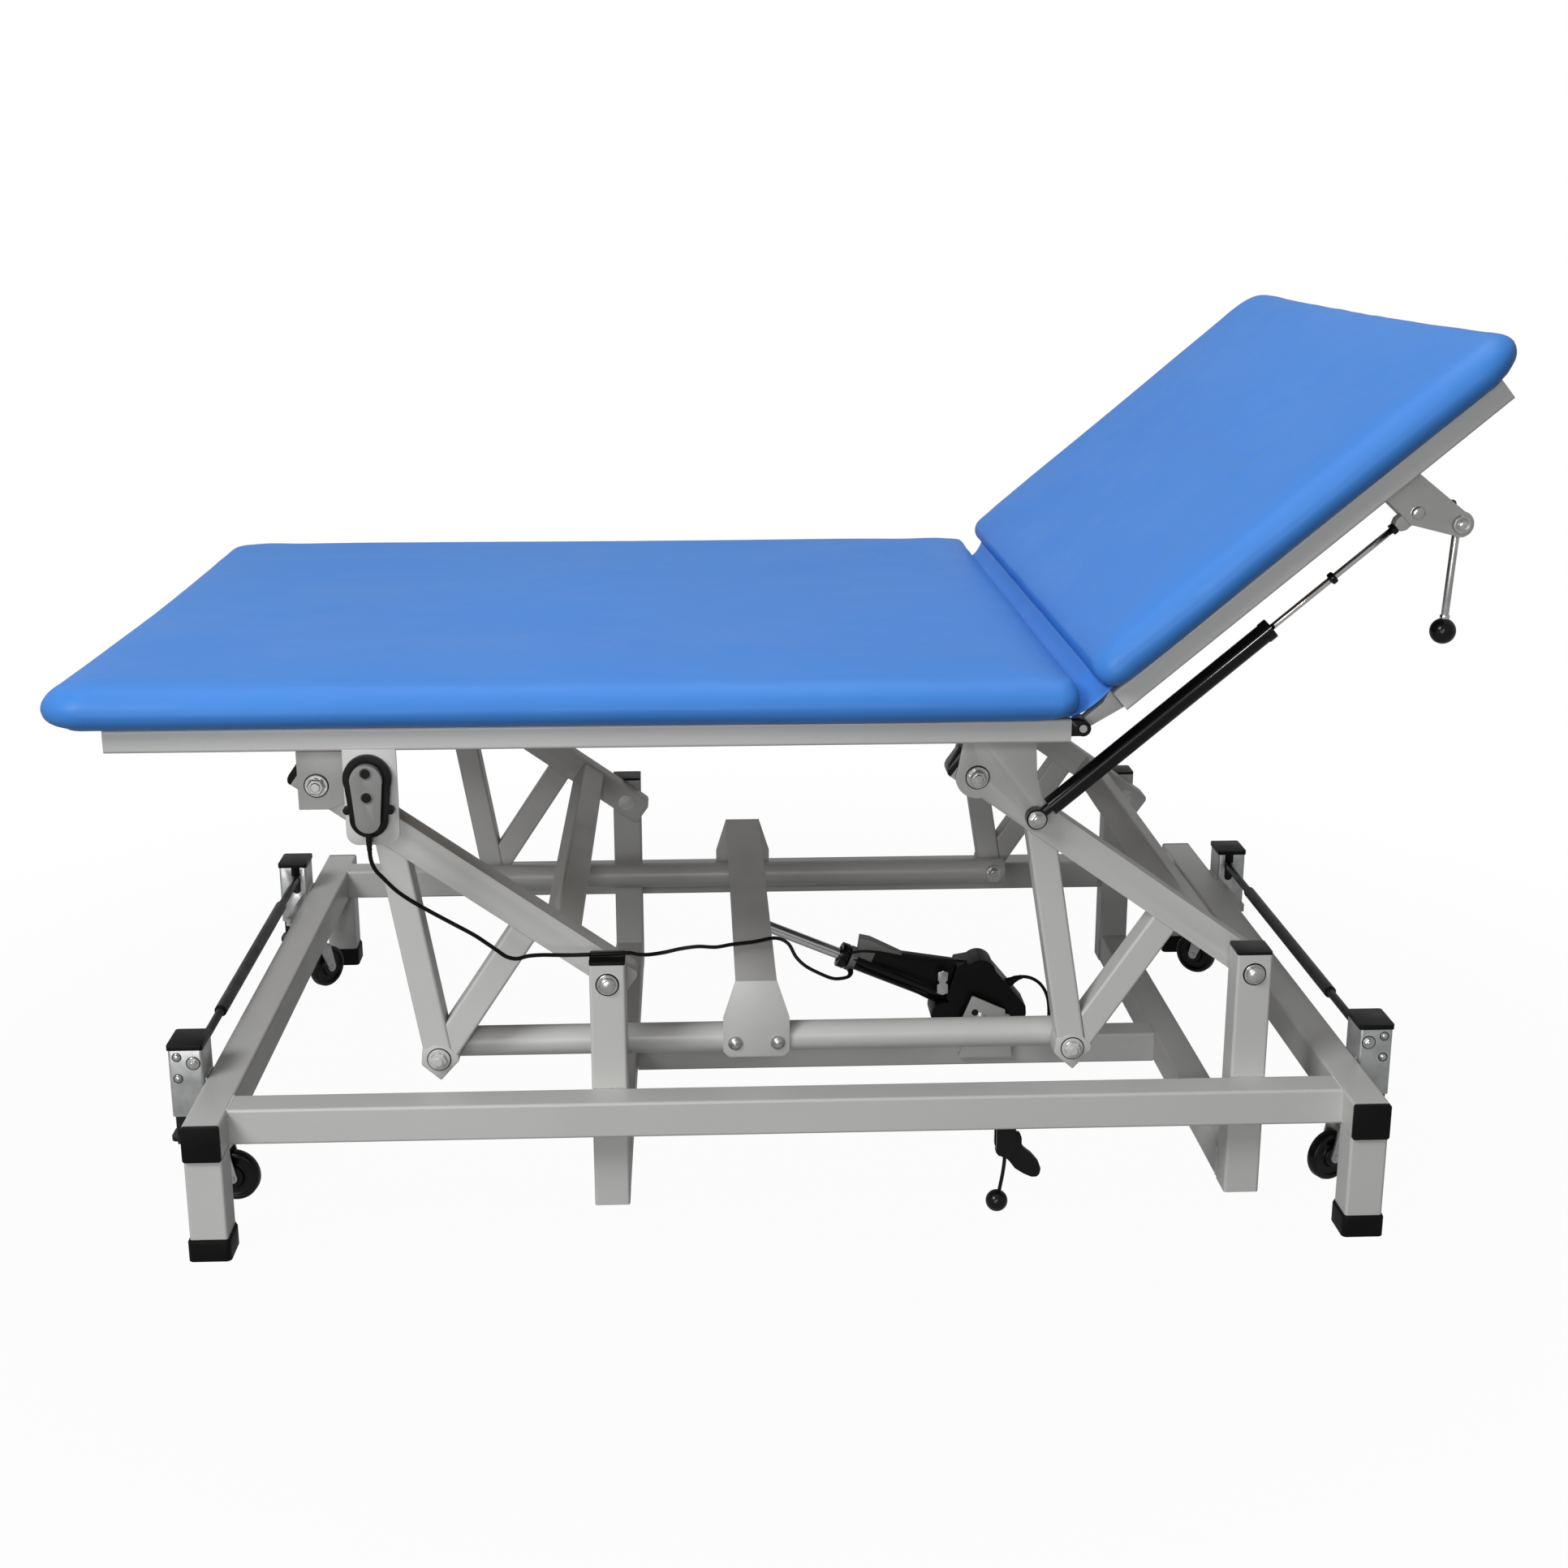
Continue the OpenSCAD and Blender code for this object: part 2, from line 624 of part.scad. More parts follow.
module bed_pins() color("gray") {
  both() for (b = [b_left, b_right]) {
    at(b[0], -(plate_out + plate_t + plate_in) / 2, b[1]) peg(pin_r, plate_out + plate_t - plate_in);
    at(b[0], -plate_out - plate_t, b[1]) front_head(head_r, head_h, washer_r, washer_t);
    at(b[0], -plate_in, b[1]) mirror([0, 1, 0]) front_head(head_r, head_h, washer_r, washer_t);
    for (y = [arm_out + pivot_gap / 2, arm_in - pivot_gap / 2]) at(b[0], -y, b[1]) difference() {
      peg(washer_r, pivot_gap - 2 * seat);
      peg(pin_r + pin_fit, pivot_gap);
    }
  }
  at(g_at[0], -(plate_out + gas_y + gas_eye_w / 2) / 2, g_at[1]) peg(gas_pin_r, gas_y + gas_eye_w / 2 - plate_out + 2 * seat);
  at(g_at[0], -gas_y - gas_eye_w / 2 - seat, g_at[1]) front_head(1.4 * gas_pin_r, gas_pin_r / 2, 1.7 * gas_pin_r, washer_t);
  both() at(h_at[0], -bed_half + knuckle_t, h_at[1]) peg(hinge_pin_r, 2 * knuckle_t);
}
knuckle_t = 21;

// Hinge: knuckles on the bed tubes outside, on the leaves of the back inside
knuckle_neck = 12;
module hinge_barrels() color("dimgray") both() difference() {
  union() {
    at(h_at[0], -bed_half + knuckle_t / 2, h_at[1]) peg(barrel_r, knuckle_t - seat);
    at(bed_end, -bed_half + flat_wall + plug_fit, h_at[1] - barrel_r)
      cube([hinge_x - bed_end, knuckle_t - flat_wall - plug_fit - seat, 2 * barrel_r]);
  }
  at(h_at[0], -bed_half + knuckle_t / 2, h_at[1]) peg(hinge_pin_r + pin_fit, knuckle_t + 2 * over);
}

// Boards and pads
module board(x0, x1, w, z) at((x0 + x1) / 2, 0, z) linear_extrude(height=board_t) rsec(x1 - x0, w, edge_n + 2);
module bed_board() color("burlywood") board(
  main_x0 + pocket_in + board_fit, main_x1 - pocket_in - board_fit, pad_w - 2 * pocket_in - 2 * board_fit, pad_z);

// Points of one ring of a pad: a rounded rectangle whose sides draw in between the corners
pad_q = 6;
pad_side = 7;
function arc_pts(c, r, a0) = [for (i = [0:pad_q]) c + r * [cos(a0 + 90 * i / pad_q), sin(a0 + 90 * i / pad_q)]];
function side_pts(a, b, n, bow) = let (v = b - a, m = [-v[1], v[0]] / norm(v))
  [for (i = [1:n]) a + v * i / (n + 1) + m * bow * sin(180 * i / (n + 1))];
function pad_ring(x0, x1, w, rf, rh, bow) = let (
  a = arc_pts([x1 - rh, w / 2 - rh], rh, 0), b = arc_pts([x0 + rf, w / 2 - rf], rf, 90),
  c = arc_pts([x0 + rf, -w / 2 + rf], rf, 180), d = arc_pts([x1 - rh, -w / 2 + rh], rh, 270)
) concat(
  a, side_pts(a[pad_q], b[0], pad_side, bow), b, side_pts(b[pad_q], c[0], pad_side, bow),
  c, side_pts(c[pad_q], d[0], pad_side, bow), d, side_pts(d[pad_q], a[0], pad_side, 0)
);
pad_n = 4 * (pad_q + 1) + 4 * pad_side;
function nose_in(t) = nose_l * (1 - sqrt(max(0, 1 - pow(2 * t - 1, 2))));
// The rings from the roof of the board's pocket, round the edge, to the crown
function pad_rings(x0, x1) = concat(
  [for (z = [board_t + seat, 0]) [for (p = pad_ring(x0 + pocket_in, x1 - pocket_in, pad_w - 2 * pocket_in, edge_n, edge_n, 0)) [p[0], p[1], z]]],
  [for (i = [0:len(edge_t_share) - 1]) let (
    t = edge_t_share[i], e = edge_soft * edge_in_share[i],
    h = max(nose_in(min(t, 0.93)), i > 8 ? e : 0), lim = pad_w / 2
  ) [for (p = pad_ring(x0 + e, x1 - h, pad_w - 2 * e, max(pad_corner - e, edge_n), edge_n + pad_corner * 0.25, pad_draw))
    [p[0], p[1], pad_t * t]]]
);
module pad(x0, x1) {
  rings = pad_rings(x0, x1);
  n = pad_n;
  k = len(rings);
  mid = [(x0 + x1) / 2, 0];
  pts = concat([for (r = rings) for (p = r) p], [[mid[0], 0, rings[0][0][2]], [mid[0], 0, pad_t * 1.02]]);
  polyhedron(points=pts, faces=concat(
    [for (i = [0:n - 1]) [n * k, i, (i + 1) % n]],
    [for (j = [0:k - 2]) for (i = [0:n - 1]) let (a = j * n + i, b = j * n + (i + 1) % n) each [[a, a + n, b], [b, a + n, b + n]]],
    [for (i = [0:n - 1]) [n * k + 1, (k - 1) * n + (i + 1) % n, (k - 1) * n + i]]
  ));
}
module main_pad() color("royalblue") at(0, 0, pad_z) pad(main_x0, main_x1);

// Back section, drawn level from the hinge and turned to its rest angle
module back() at(h_at[0], 0, h_at[1]) turned(back_angle) children();
back_low = -18;
back_tube_in = [7, 46];
back_tube0 = back_start + back_tube_in[0];
back_tube1 = back_end - back_tube_in[1];
back_rail = 152;
back_cross = [back_tube0 + flat_w / 2, back_tube1 - back_rail, back_tube1 - flat_w / 2];
module back_frame() color("silver") back() {
  both() at(back_tube0, -bed_half + flat_w / 2, back_low + flat_h / 2) along_x(back_tube1 - back_tube0) tsec(flat_w, flat_h, flat_r, flat_wall);
  for (x = back_cross) at(x, 0, back_low + flat_h / 2) along_y(2 * (bed_in - seat)) tsec(flat_w, flat_h, flat_r, flat_wall);
}
leaf_rise = 4;
leaf_l = 40;
stiff_l = 155;
stiff_d = 44;
module hinge_leaves() color("silver") back() both() {
  at(0, -bed_half + knuckle_t * 1.5, 0) difference() {
    union() {
      peg(barrel_r, knuckle_t - seat);
      side_plate(knuckle_t - seat) polygon([
        [0, -barrel_r], [barrel_r, -barrel_r], [back_tube0, back_low], [back_tube0, back_low + flat_h],
        [leaf_l, leaf_rise], [barrel_r, leaf_rise], [0, barrel_r * 0.4]
      ]);
    }
    peg(hinge_pin_r + pin_fit, knuckle_t + 2 * over);
  }
  at(0, -bed_in + plate_t / 2, 0) side_plate(plate_t) polygon([
    [back_tube0 + barrel_r, back_low], [back_tube0 + barrel_r, back_low - stiff_d * 0.6],
    [back_tube0 + 2 * barrel_r, back_low - stiff_d], [back_tube0 + 3.4 * barrel_r, back_low - stiff_d * 0.9],
    [back_tube0 + stiff_l, back_low]
  ]);
}
gas_top_set = [-5, -86];
gas_hub_set = [34, -48];
gas_u = [back_cross[1], 0] + gas_top_set;
gas_up_in = 10;
gas_up_t = 4;
gas_hub = gas_u + gas_hub_set;
module gas_ears() back() for (s = [-1, 1]) at(0, -gas_y + s * (gas_up_in + gas_up_t / 2), 0) difference() {
  side_plate(gas_up_t) {
    polygon([
      [gas_u[0] - flat_w / 2, back_low], [gas_u[0] + flat_w / 2, back_low],
      gas_hub + ear_r * [0.8, 0.6], gas_hub + ear_r * [-0.6, -0.8], gas_u + ear_r * [-0.9, -0.44]
    ]);
    translate(gas_hub) circle(r=ear_r);
    translate(gas_u) circle(r=ear_r);
  }
  at(gas_u[0], 0, gas_u[1]) peg(gas_pin_r + pin_fit, gas_up_t + 2 * over);
  at(gas_hub[0], 0, gas_hub[1]) peg(gas_pin_r + pin_fit, gas_up_t + 2 * over);
}
module gas_bracket() color("dimgray") {
  gas_ears();
  gas_top_pin();
}
module gas_top_pin() back() at(gas_u[0], -gas_y, gas_u[1]) {
  peg(gas_pin_r, 2 * (gas_up_in + gas_up_t));
  both() at(0, -gas_up_in - gas_up_t, 0) rotate([90, 0, 0]) bolt_head(1.4 * gas_pin_r, gas_pin_r / 2);
}
module back_board() color("burlywood") back() board(
  back_start + pocket_in + board_fit, back_end - pocket_in - board_fit, pad_w - 2 * pocket_in - 2 * board_fit, back_n);
// The back's pad has its nose at the hinge too, so it is mirrored
module back_pad() color("royalblue") back() at(0, 0, back_n) mirror([1, 0, 0]) pad(-back_end, -back_start);

// Release lever: hub between the ears, a straight rod down and a ball
lever_l = 128;
lever_r = 5;
lever_ball = 17;
lever_lean = 93;
lever_hub_r = 11;
module release_lever() color("black") back() at(gas_hub[0], -gas_y, gas_hub[1]) {
  peg(gas_pin_r, 2 * (gas_up_in + gas_up_t));
  peg(lever_hub_r, 2 * (gas_up_in - seat));
  turned(-back_angle - lever_lean) {
    cylinder_x(lever_r, lever_l);
    at(lever_l + lever_ball * 0.8, 0, 0) sphere(r=lever_ball);
  }
}
module cylinder_x(r, l) rotate([0, 90, 0]) cylinder(r=r, h=l);

// Gas spring, drawn along X from its lower pin
gas_top = h_at + [gas_u[0] * cos(back_angle) - gas_u[1] * sin(back_angle), gas_u[0] * sin(back_angle) + gas_u[1] * cos(back_angle)];
gas_v = gas_top - g_at;
gas_len = norm(gas_v);
gas_dir = atan2(gas_v[1], gas_v[0]);
gas_neck = 24;
gas_mouth = 392;
gas_rod_l = 330;
module gas_cylinder() color("black") at(g_at[0], -gas_y, g_at[1]) turned(gas_dir) {
  difference() {
    union() {
      peg(g_r * 0.7, gas_eye_w);
      cylinder_x(g_r * 0.35, gas_neck);
      at(gas_neck, 0, 0) cylinder_x(gas_r, gas_mouth - gas_neck);
      at(gas_mouth - gas_neck / 2, 0, 0) cylinder_x(gas_r + 1.2, gas_neck / 2);
    }
    at(2 * gas_neck, 0, 0) cylinder_x(gas_r - gas_wall, gas_mouth);
    peg(gas_pin_r + pin_fit, gas_eye_w + 2 * over);
  }
}
collar_l = 12;
collar_at = 132.3;
module gas_rod() color("gray") at(g_at[0], -gas_y, g_at[1]) turned(gas_dir) at(gas_len, 0, 0) difference() {
  union() {
    peg(g_r * 0.7, 2 * (gas_up_in - 2 * seat));
    rotate([0, 180, 0]) cylinder_x(gas_rod_r, gas_rod_l);
    rotate([0, 180, 0]) at(g_r * 1.6, 0, 0) cylinder_x(gas_rod_r * 1.9, collar_l * 2);
    rotate([0, 180, 0]) at(collar_at, 0, 0) cylinder_x(gas_rod_r * 1.9, collar_l);
  }
  peg(gas_pin_r + pin_fit, 2 * gas_up_in + 2 * over);
}

// Actuator, drawn along X from its lower pin
module act() at(act_m[0], 0, act_m[1]) turned(act_dir) children();
act_mouth = 240;
act_tail = 255;
act_bore0 = 32;
act_mouth_r = 20;
act_mouth_l = 12;
module actuator_tube() color("silver") act() difference() {
  union() {
    peg(act_eye_r, 2 * act_eye_w);
    cylinder_x(act_eye_r * 0.8, act_bore0);
    at(act_eye_r * 1.4, 0, 0) cylinder_x(act_r, act_mouth - act_eye_r * 1.4);
    at(act_mouth - act_mouth_l, 0, 0) cylinder_x(act_mouth_r, act_mouth_l);
  }
  at(act_bore0, 0, 0) cylinder_x(act_r - act_wall, act_mouth);
  peg(pin_r + pin_fit, 2 * act_eye_w + 2 * over);
}
house_t = 56;
motor_l = 100;
bulb_share = [0.5, -0.24];
bulb_r = 22;
dome_share = [0.26, 0.6];
dome_r = 24;
motor_share = [[0.66, 0.58], [0.26, 0.84], [-0.28, 0.56], [-0.62, 0.38], [-0.68, 0.26], [-0.68, 0.04], [-0.3, -0.1], [0.3, -0.18], [0.6, 0.04]];
spout_share = [[0.6, 0.6], [1.5, 0.38], [1.9, 0.3], [1.9, 0.1], [0.6, 0.1]];
cover_share = [[1.5, 0.383], [1.903, 0.303], [1.903, 0.1], [2.14, 0.1], [2.22, 0.39], [2.05, 0.42]];
spout_t = 24;
// The housing is drawn with its own along and up, so up is down in the turned frame
module act_side(t) mirror([0, 0, 1]) side_plate(t) children();
module actuator_motor() color("black") act() difference() {
  union() {
    act_side(house_t) {
      translate(motor_l * dome_share) circle(r=dome_r);
      polygon(motor_l * motor_share);
      translate(motor_l * bulb_share) circle(r=bulb_r);
    }
    act_side(spout_t) polygon(motor_l * spout_share);
    // The gland that the lead comes out of
    at(motor_l * lead_share[0], 0, -motor_l * lead_share[1]) turned(lead_dir - act_dir + 180) cylinder_x(gland_r, gland_l);
  }
  cylinder_x(act_r + seat, act_mouth);
  peg(pin_r + pin_fit, house_t + 2 * over);
  peg(act_eye_r + seat, 2 * (act_eye_w + seat));
  cylinder_x(act_eye_r * 0.8 + seat, act_bore0);
}
act_eye_w = 12;
gland_r = 4.6;
gland_l = 14;
lead_share = [-0.31, 0.6];
lead_dir = 29.7;
gland_share = [2.19, -0.1];
gland_y = 30;
module actuator_cover() color("gray") {
  act() difference() {
    union() {
      act_side(spout_t) polygon(motor_l * cover_share);
      at(motor_l * cover_share[3][0], 0, 0) cylinder_x(act_mouth_r, act_mouth_l - seat * 5);
      // The gland that the handset's cord goes into
      at(motor_l * gland_share[0], gland_l / 2 - gland_y, -motor_l * gland_share[1]) peg(gland_r, gland_l);
    }
    cylinder_x(act_r + seat, 2 * act_mouth);
  }
}
module actuator_rod() color("gainsboro") act() at(act_len, 0, 0) difference() {
  union() {
    peg(act_eye_r, 2 * (ear_gap - 2 * seat));
    rotate([0, 180, 0]) cylinder_x(act_rod_r, act_tail);
  }
  peg(rod_pin_r + pin_fit, 2 * ear_gap + 2 * over);
}

// Handset on the front of the bed
set_x = -529.5;
set_y = bed_half;
hanger_w = 67;
hanger_drop = 124;
hanger_t = 3;
hanger_off = 3;
set_low = 585;
set_h = 87;
set_t = 20;
set_r = [20, 15.5];
cradle_t = 10;
cradle_r = [30, 24];
cradle_fit = 0.6;
ear_at_share = 0.33;
clip_r = 5;
cord_exit_r = 3.4;
button_r = 6;
button_h = 3;
button_z = [662, 631];
module upright(y, t) at(0, -y, 0) rotate([90, 0, 0]) linear_extrude(height=t) children();
// An upright outline that narrows from the round top to the round foot
module tapered(r, z, h) {
  c = [z + h - r[0], z + r[1]];
  a = asin((r[0] - r[1]) / (c[0] - c[1]));
  for (i = [0, 1]) translate([0, c[i]]) circle(r=r[i]);
  polygon([
    [r[0] * cos(a), c[0] + r[0] * sin(a)], [-r[0] * cos(a), c[0] + r[0] * sin(a)],
    [-r[1] * cos(a), c[1] + r[1] * sin(a)], [r[1] * cos(a), c[1] + r[1] * sin(a)]
  ]);
}
module hanger_plate() color("silver") at(set_x + hanger_off, 0, 0) upright(set_y, hanger_t) {
  translate([0, bed_z + hanger_t - hanger_drop / 2]) rsec(hanger_w, hanger_drop, 5 * hanger_t);
  translate([-hanger_w / 2, bed_z - 5 * hanger_t]) square([hanger_w, 6 * hanger_t]);
}
cradle_low = set_low - (cradle_r[1] - set_r[1]);
cradle_h = set_h + cradle_r[0] - set_r[0] + cradle_r[1] - set_r[1];
module handset_cradle() color("black") at(set_x, 0, 0) upright(set_y + hanger_t, cradle_t) difference() {
  union() {
    tapered(cradle_r, cradle_low, cradle_h);
    for (m = [-1, 1]) translate([m * cradle_r[1] * 1.12, cradle_low + ear_at_share * cradle_h]) circle(r=clip_r);
  }
  tapered([for (r = set_r) r + cradle_fit], set_low - cradle_fit, set_h + 2 * cradle_fit);
}
module handset_body() color("gray") at(set_x, 0, 0) {
  difference() {
    union() {
      upright(set_y + hanger_t, set_t) tapered(set_r, set_low, set_h);
      // The stem that the cord comes out of
      at(0, -set_y - hanger_t - cradle_t - cord_exit_r - cradle_fit, cord_top)
        cylinder(r=cord_exit_r, h=set_low + set_r[1] / 2 - cord_top);
    }
    for (z = button_z) at(0, -set_y - hanger_t - set_t - over, z) rotate([-90, 0, 0])
      cylinder(r=button_r + pin_fit, h=2 * button_h + over);
  }
}
cord_top = 573;
module button(z) at(set_x, -set_y - hanger_t - set_t, z) rotate([90, 0, 0])
  at(0, 0, -button_h) cylinder(r=button_r, h=1.6 * button_h);
module button_up() color("dimgray") button(button_z[0]);
module button_down() color("dimgray") button(button_z[1]);

// Castor system
slide_d = house_d - 2 * house_wall - 2 * slide_gap;
slide_w = house_w - 2 * house_wall - 2 * slide_gap;
foot_z = 98;
foot_t = 6;
hub_r = 11;
fork_gap = 5;
fork_top = 2 * wheel_r + wheel_clear + fork_gap;
foot_x0 = min(swivel_x, house_x - slide_d / 2) - hub_r;
foot_x1 = max(swivel_x, house_x + slide_d / 2) + hub_r;
module carriage(s) {
  both() {
    at(s * house_x, -house_y, foot_z) linear_extrude(height=house_z + slide_high - foot_z)
      rsec(slide_d, slide_w, house_r / 2);
    at(s * (foot_x0 + foot_x1) / 2, -house_y, foot_z)
      linear_extrude(height=foot_t) rsec(foot_x1 - foot_x0, slide_w * 0.7, hub_r * 0.8);
    at(s * swivel_x, -swivel_y, foot_z) cylinder(r=hub_r, h=3 * foot_t);
  }
  at(s * bar_x, 0, bar_z) {
    peg(bar_r, 2 * (house_y - slide_w / 2));
    peg(bar_r * 1.5, 2 * (house_y - slide_w / 2) * 0.62);
  }
}
module carriage_cut(s) difference() {
  carriage(s);
  both() at(s * swivel_x, -swivel_y, 0) cylinder(r=stem_r + pin_fit, h=foot_z + 2 * foot_t);
}
module castor_bar_left() color("dimgray") carriage_cut(-1);
module castor_bar_right() color("dimgray") carriage_cut(1);
fork_w = wheel_w + 2 * seat + 2 * fork_t;
module castor_fork(x, y, a) color("gray") at(x, y, 0) rotate([0, 0, a]) {
  at(0, 0, fork_top + fork_t) cylinder(r=stem_r, h=foot_z + 2 * foot_t - fork_top - fork_t - seat);
  at(0, 0, fork_top + fork_t) cylinder(r=hub_r, h=foot_z - fork_top - fork_t - seat);
  at(0, 0, fork_top) linear_extrude(height=fork_t) {
    circle(r=fork_w / 2);
    translate([0, -fork_w / 2]) square([trail * 0.9, fork_w]);
  }
  both() at(0, -fork_w / 2 + fork_t / 2, 0) side_plate(fork_t) {
    polygon([[-fork_w / 4, fork_top + fork_t], [trail * 0.9, fork_top + fork_t], [trail + 2 * axle_r, wheel_z], [trail - 2 * axle_r, wheel_z]]);
    translate([trail, wheel_z]) circle(r=2 * axle_r);
  }
  at(trail, 0, wheel_z) peg(axle_r, fork_w + fork_t);
}
wheel_z = wheel_r + wheel_clear;
tread = 8;
module castor_wheel(x, y, a) color("black") at(x, y, wheel_z) rotate([0, 0, a]) at(trail, 0, 0) rotate([90, 0, 0]) difference() {
  rotate_extrude() polygon([
    [0, -wheel_w / 2], [wheel_r * 0.4, -wheel_w / 2], [wheel_r * 0.45, -wheel_w * 0.2], [wheel_r - tread, -wheel_w * 0.2],
    [wheel_r - tread, -wheel_w * 0.4], [wheel_r - tread * 0.25, -wheel_w * 0.4], [wheel_r, -wheel_w * 0.2],
    [wheel_r, wheel_w * 0.2], [wheel_r - tread * 0.25, wheel_w * 0.4], [wheel_r - tread, wheel_w * 0.4],
    [wheel_r - tread, wheel_w * 0.2], [wheel_r * 0.45, wheel_w * 0.2], [wheel_r * 0.4, wheel_w / 2], [0, wheel_w / 2]
  ]);
  cylinder(r=axle_r + pin_fit, h=2 * wheel_w, center=true);
}
turn_fl = -8;
turn_rl = 55;
turn_fr = 205;
turn_rr = 140;
module castor_fork_fl() castor_fork(-swivel_x, -swivel_y, turn_fl);
module castor_fork_rl() castor_fork(-swivel_x, swivel_y, turn_rl);
module castor_fork_fr() castor_fork(swivel_x, -swivel_y, turn_fr);
module castor_fork_rr() castor_fork(swivel_x, swivel_y, turn_rr);
module castor_wheel_fl() castor_wheel(-swivel_x, -swivel_y, turn_fl);
module castor_wheel_rl() castor_wheel(-swivel_x, swivel_y, turn_rl);
module castor_wheel_fr() castor_wheel(swivel_x, -swivel_y, turn_fr);
module castor_wheel_rr() castor_wheel(swivel_x, swivel_y, turn_rr);

// Cords: round numbers along the route, in the base's own places
cord_r = 2.7;
lead_r = 2.7;
cord_sides = 8;
route_bed = [
  [-530, -580, 573], [-530, -580, 560], [-529, -576, 545], [-525, -571, 532], [-517, -566, 520],
  [-503, -556, 500], [-486, -545, 482], [-463, -532, 462], [-438, -520, 442]
];
route_crank = [
  [-438, -520, 442], [-413, -508, 422], [-398, -501, 408], [-385, -494, 395], [-374, -488, 384], [-361, -481, 378],
  [-346, -474, 379], [-328, -468, 378], [-308, -464, 376], [-286, -462, 375], [-264, -461, 375]
];
route_base = [
  [-264, -461, 375], [-242, -460, 375], [-214, -457, 375], [-201, -447, 369], [-187, -432, 363], [-166, -410, 358],
  [-146, -370, 348], [-121, -320, 333], [-96, -285, 319], [-72, -258, 313], [-39, -245, 312], [-9, -231, 312], [11, -205, 294],
  [24, -175, 262], [40, -145, 236], [62, -115, 213], [84, -88, 194], [100, -68, 186], [112, -52, 183], [116, -41, 184],
  [116, -30, 184]
];
route_lead = [
  [374.3, 0, 151.2], [381, 0, 155], [391, 0, 158], [401, 0, 157], [411, 0, 153], [421, 0, 145], [429, 0, 133], [434, 0, 118],
  [436, 0, 100], [436, 0, 84], [436, 0, 68]
];
function tangent(p, i) = let (v = p[min(i + 1, len(p) - 1)] - p[max(i - 1, 0)]) v / norm(v);
function ring3(p, i, r) = let (
  t = tangent(p, i), s0 = cross(t, [0.35, 0.9, 0.25]), s = s0 / norm(s0), u = cross(s, t)
) [for (k = [0:cord_sides - 1]) p[i] + r * (cos(360 * k / cord_sides) * s + sin(360 * k / cord_sides) * u)];
module cord_tube(p, r) {
  n = cord_sides;
  m = len(p);
  polyhedron(points=[for (i = [0:m - 1]) for (q = ring3(p, i, r)) q], faces=concat(
    [[for (k = [0:n - 1]) k]],
    [for (j = [0:m - 2]) for (k = [0:n - 1]) let (a = j * n + k, b = j * n + (k + 1) % n) each [[a, a + n, b], [b, a + n, b + n]]],
    [[for (k = [n - 1:-1:0]) (m - 1) * n + k]]
  ));
}
module handset_cord_bed() color("black") cord_tube(route_bed, cord_r);
module handset_cord_crank() color("black") cord_tube(route_crank, cord_r);
module handset_cord_base() color("black") cord_tube(route_base, cord_r);
module motor_lead() color("black") cord_tube(route_lead, lead_r);

// Flap over the gap at the hinge
flap_t = 2;
flap_in = 25;
flap_w = pad_w - 2 * flap_in;
flap_lift = [1, 0.8];
flap_turn = [8, 10];
flap_sag = [2, -9];
nose_main = [main_x1 - nose_l, pad_z + pad_t / 2];
function back_pt(l, n) = [lean_x(l, n), h_at[1] + l * sin(back_angle) + n * cos(back_angle)];
module hinge_flap() color("royalblue") {
  a = nose_main + [(nose_l + flap_lift[0]) * cos(flap_turn[0]), (pad_t / 2 + flap_lift[0]) * sin(flap_turn[0])];
  b = back_pt(
    back_start + nose_l - (nose_l + flap_lift[1]) * cos(flap_turn[1]),
    back_n + pad_t / 2 + (pad_t / 2 + flap_lift[1]) * sin(flap_turn[1])
  );
  c = (a + b) / 2 + flap_sag;
  n = 8;
  curve = [for (i = [0:n]) let (t = i / n) (1 - t) * (1 - t) * a + 2 * t * (1 - t) * c + t * t * b];
  side_plate(flap_w) polygon(concat(curve, [for (i = [n:-1:0]) curve[i] + [flap_t * 0.5, -flap_t]]));
}

module placed() translate([-org_x, 0, 0]) children();

placed() end_rails();
placed() side_rails();
placed() legs();
placed() foot_caps();
placed() tube_caps();
placed() lift_posts();
placed() base_subframe();
placed() actuator_bracket();
placed() castor_housings();
placed() housing_bolts();
placed() base_pins();
placed() pedal_bracket();
placed() crank_arms_left();
placed() crank_legs_left();
placed() crank_arms_right();
placed() crank_legs_right();
placed() link_tubes();
placed() link_fasteners();
placed() bridge();
placed() bed_frame();
placed() pivot_bracket_left();
placed() pivot_bracket_right();
placed() bed_pins();
placed() bed_board();
placed() main_pad();
placed() hinge_barrels();
placed() hanger_plate();
placed() handset_cradle();
placed() handset_body();
placed() button_up();
placed() button_down();
placed() back_frame();
placed() hinge_leaves();
placed() gas_bracket();
placed() back_board();
placed() back_pad();
placed() release_lever();
placed() gas_cylinder();
placed() gas_rod();
placed() actuator_tube();
placed() actuator_motor();
placed() actuator_cover();
placed() actuator_rod();
placed() castor_bar_left();
placed() castor_bar_right();
placed() castor_fork_fl();
placed() castor_fork_rl();
placed() castor_fork_fr();
placed() castor_fork_rr();
placed() castor_wheel_fl();
placed() castor_wheel_rl();
placed() castor_wheel_fr();
placed() castor_wheel_rr();
placed() foot_lever();
placed() handset_cord_bed();
placed() handset_cord_crank();
placed() handset_cord_base();
placed() motor_lead();
placed() hinge_flap();

echo(org_x=org_x, b_left=b_left, b_right=b_right, v_left=v_left, v_right=v_right, act_m=act_m, act_len=act_len,
  gas_top=gas_top, gas_len=gas_len, h_at=h_at, g_at=g_at, back_far=back_far, gas_y=gas_y, post_y=post_y, arm_y=arm_y);
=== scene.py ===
"""Looks of a two-section treatment table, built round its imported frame."""
import json
import logging
import math
from dataclasses import dataclass, field
from enum import Enum
from typing import Callable, Iterable, Sequence

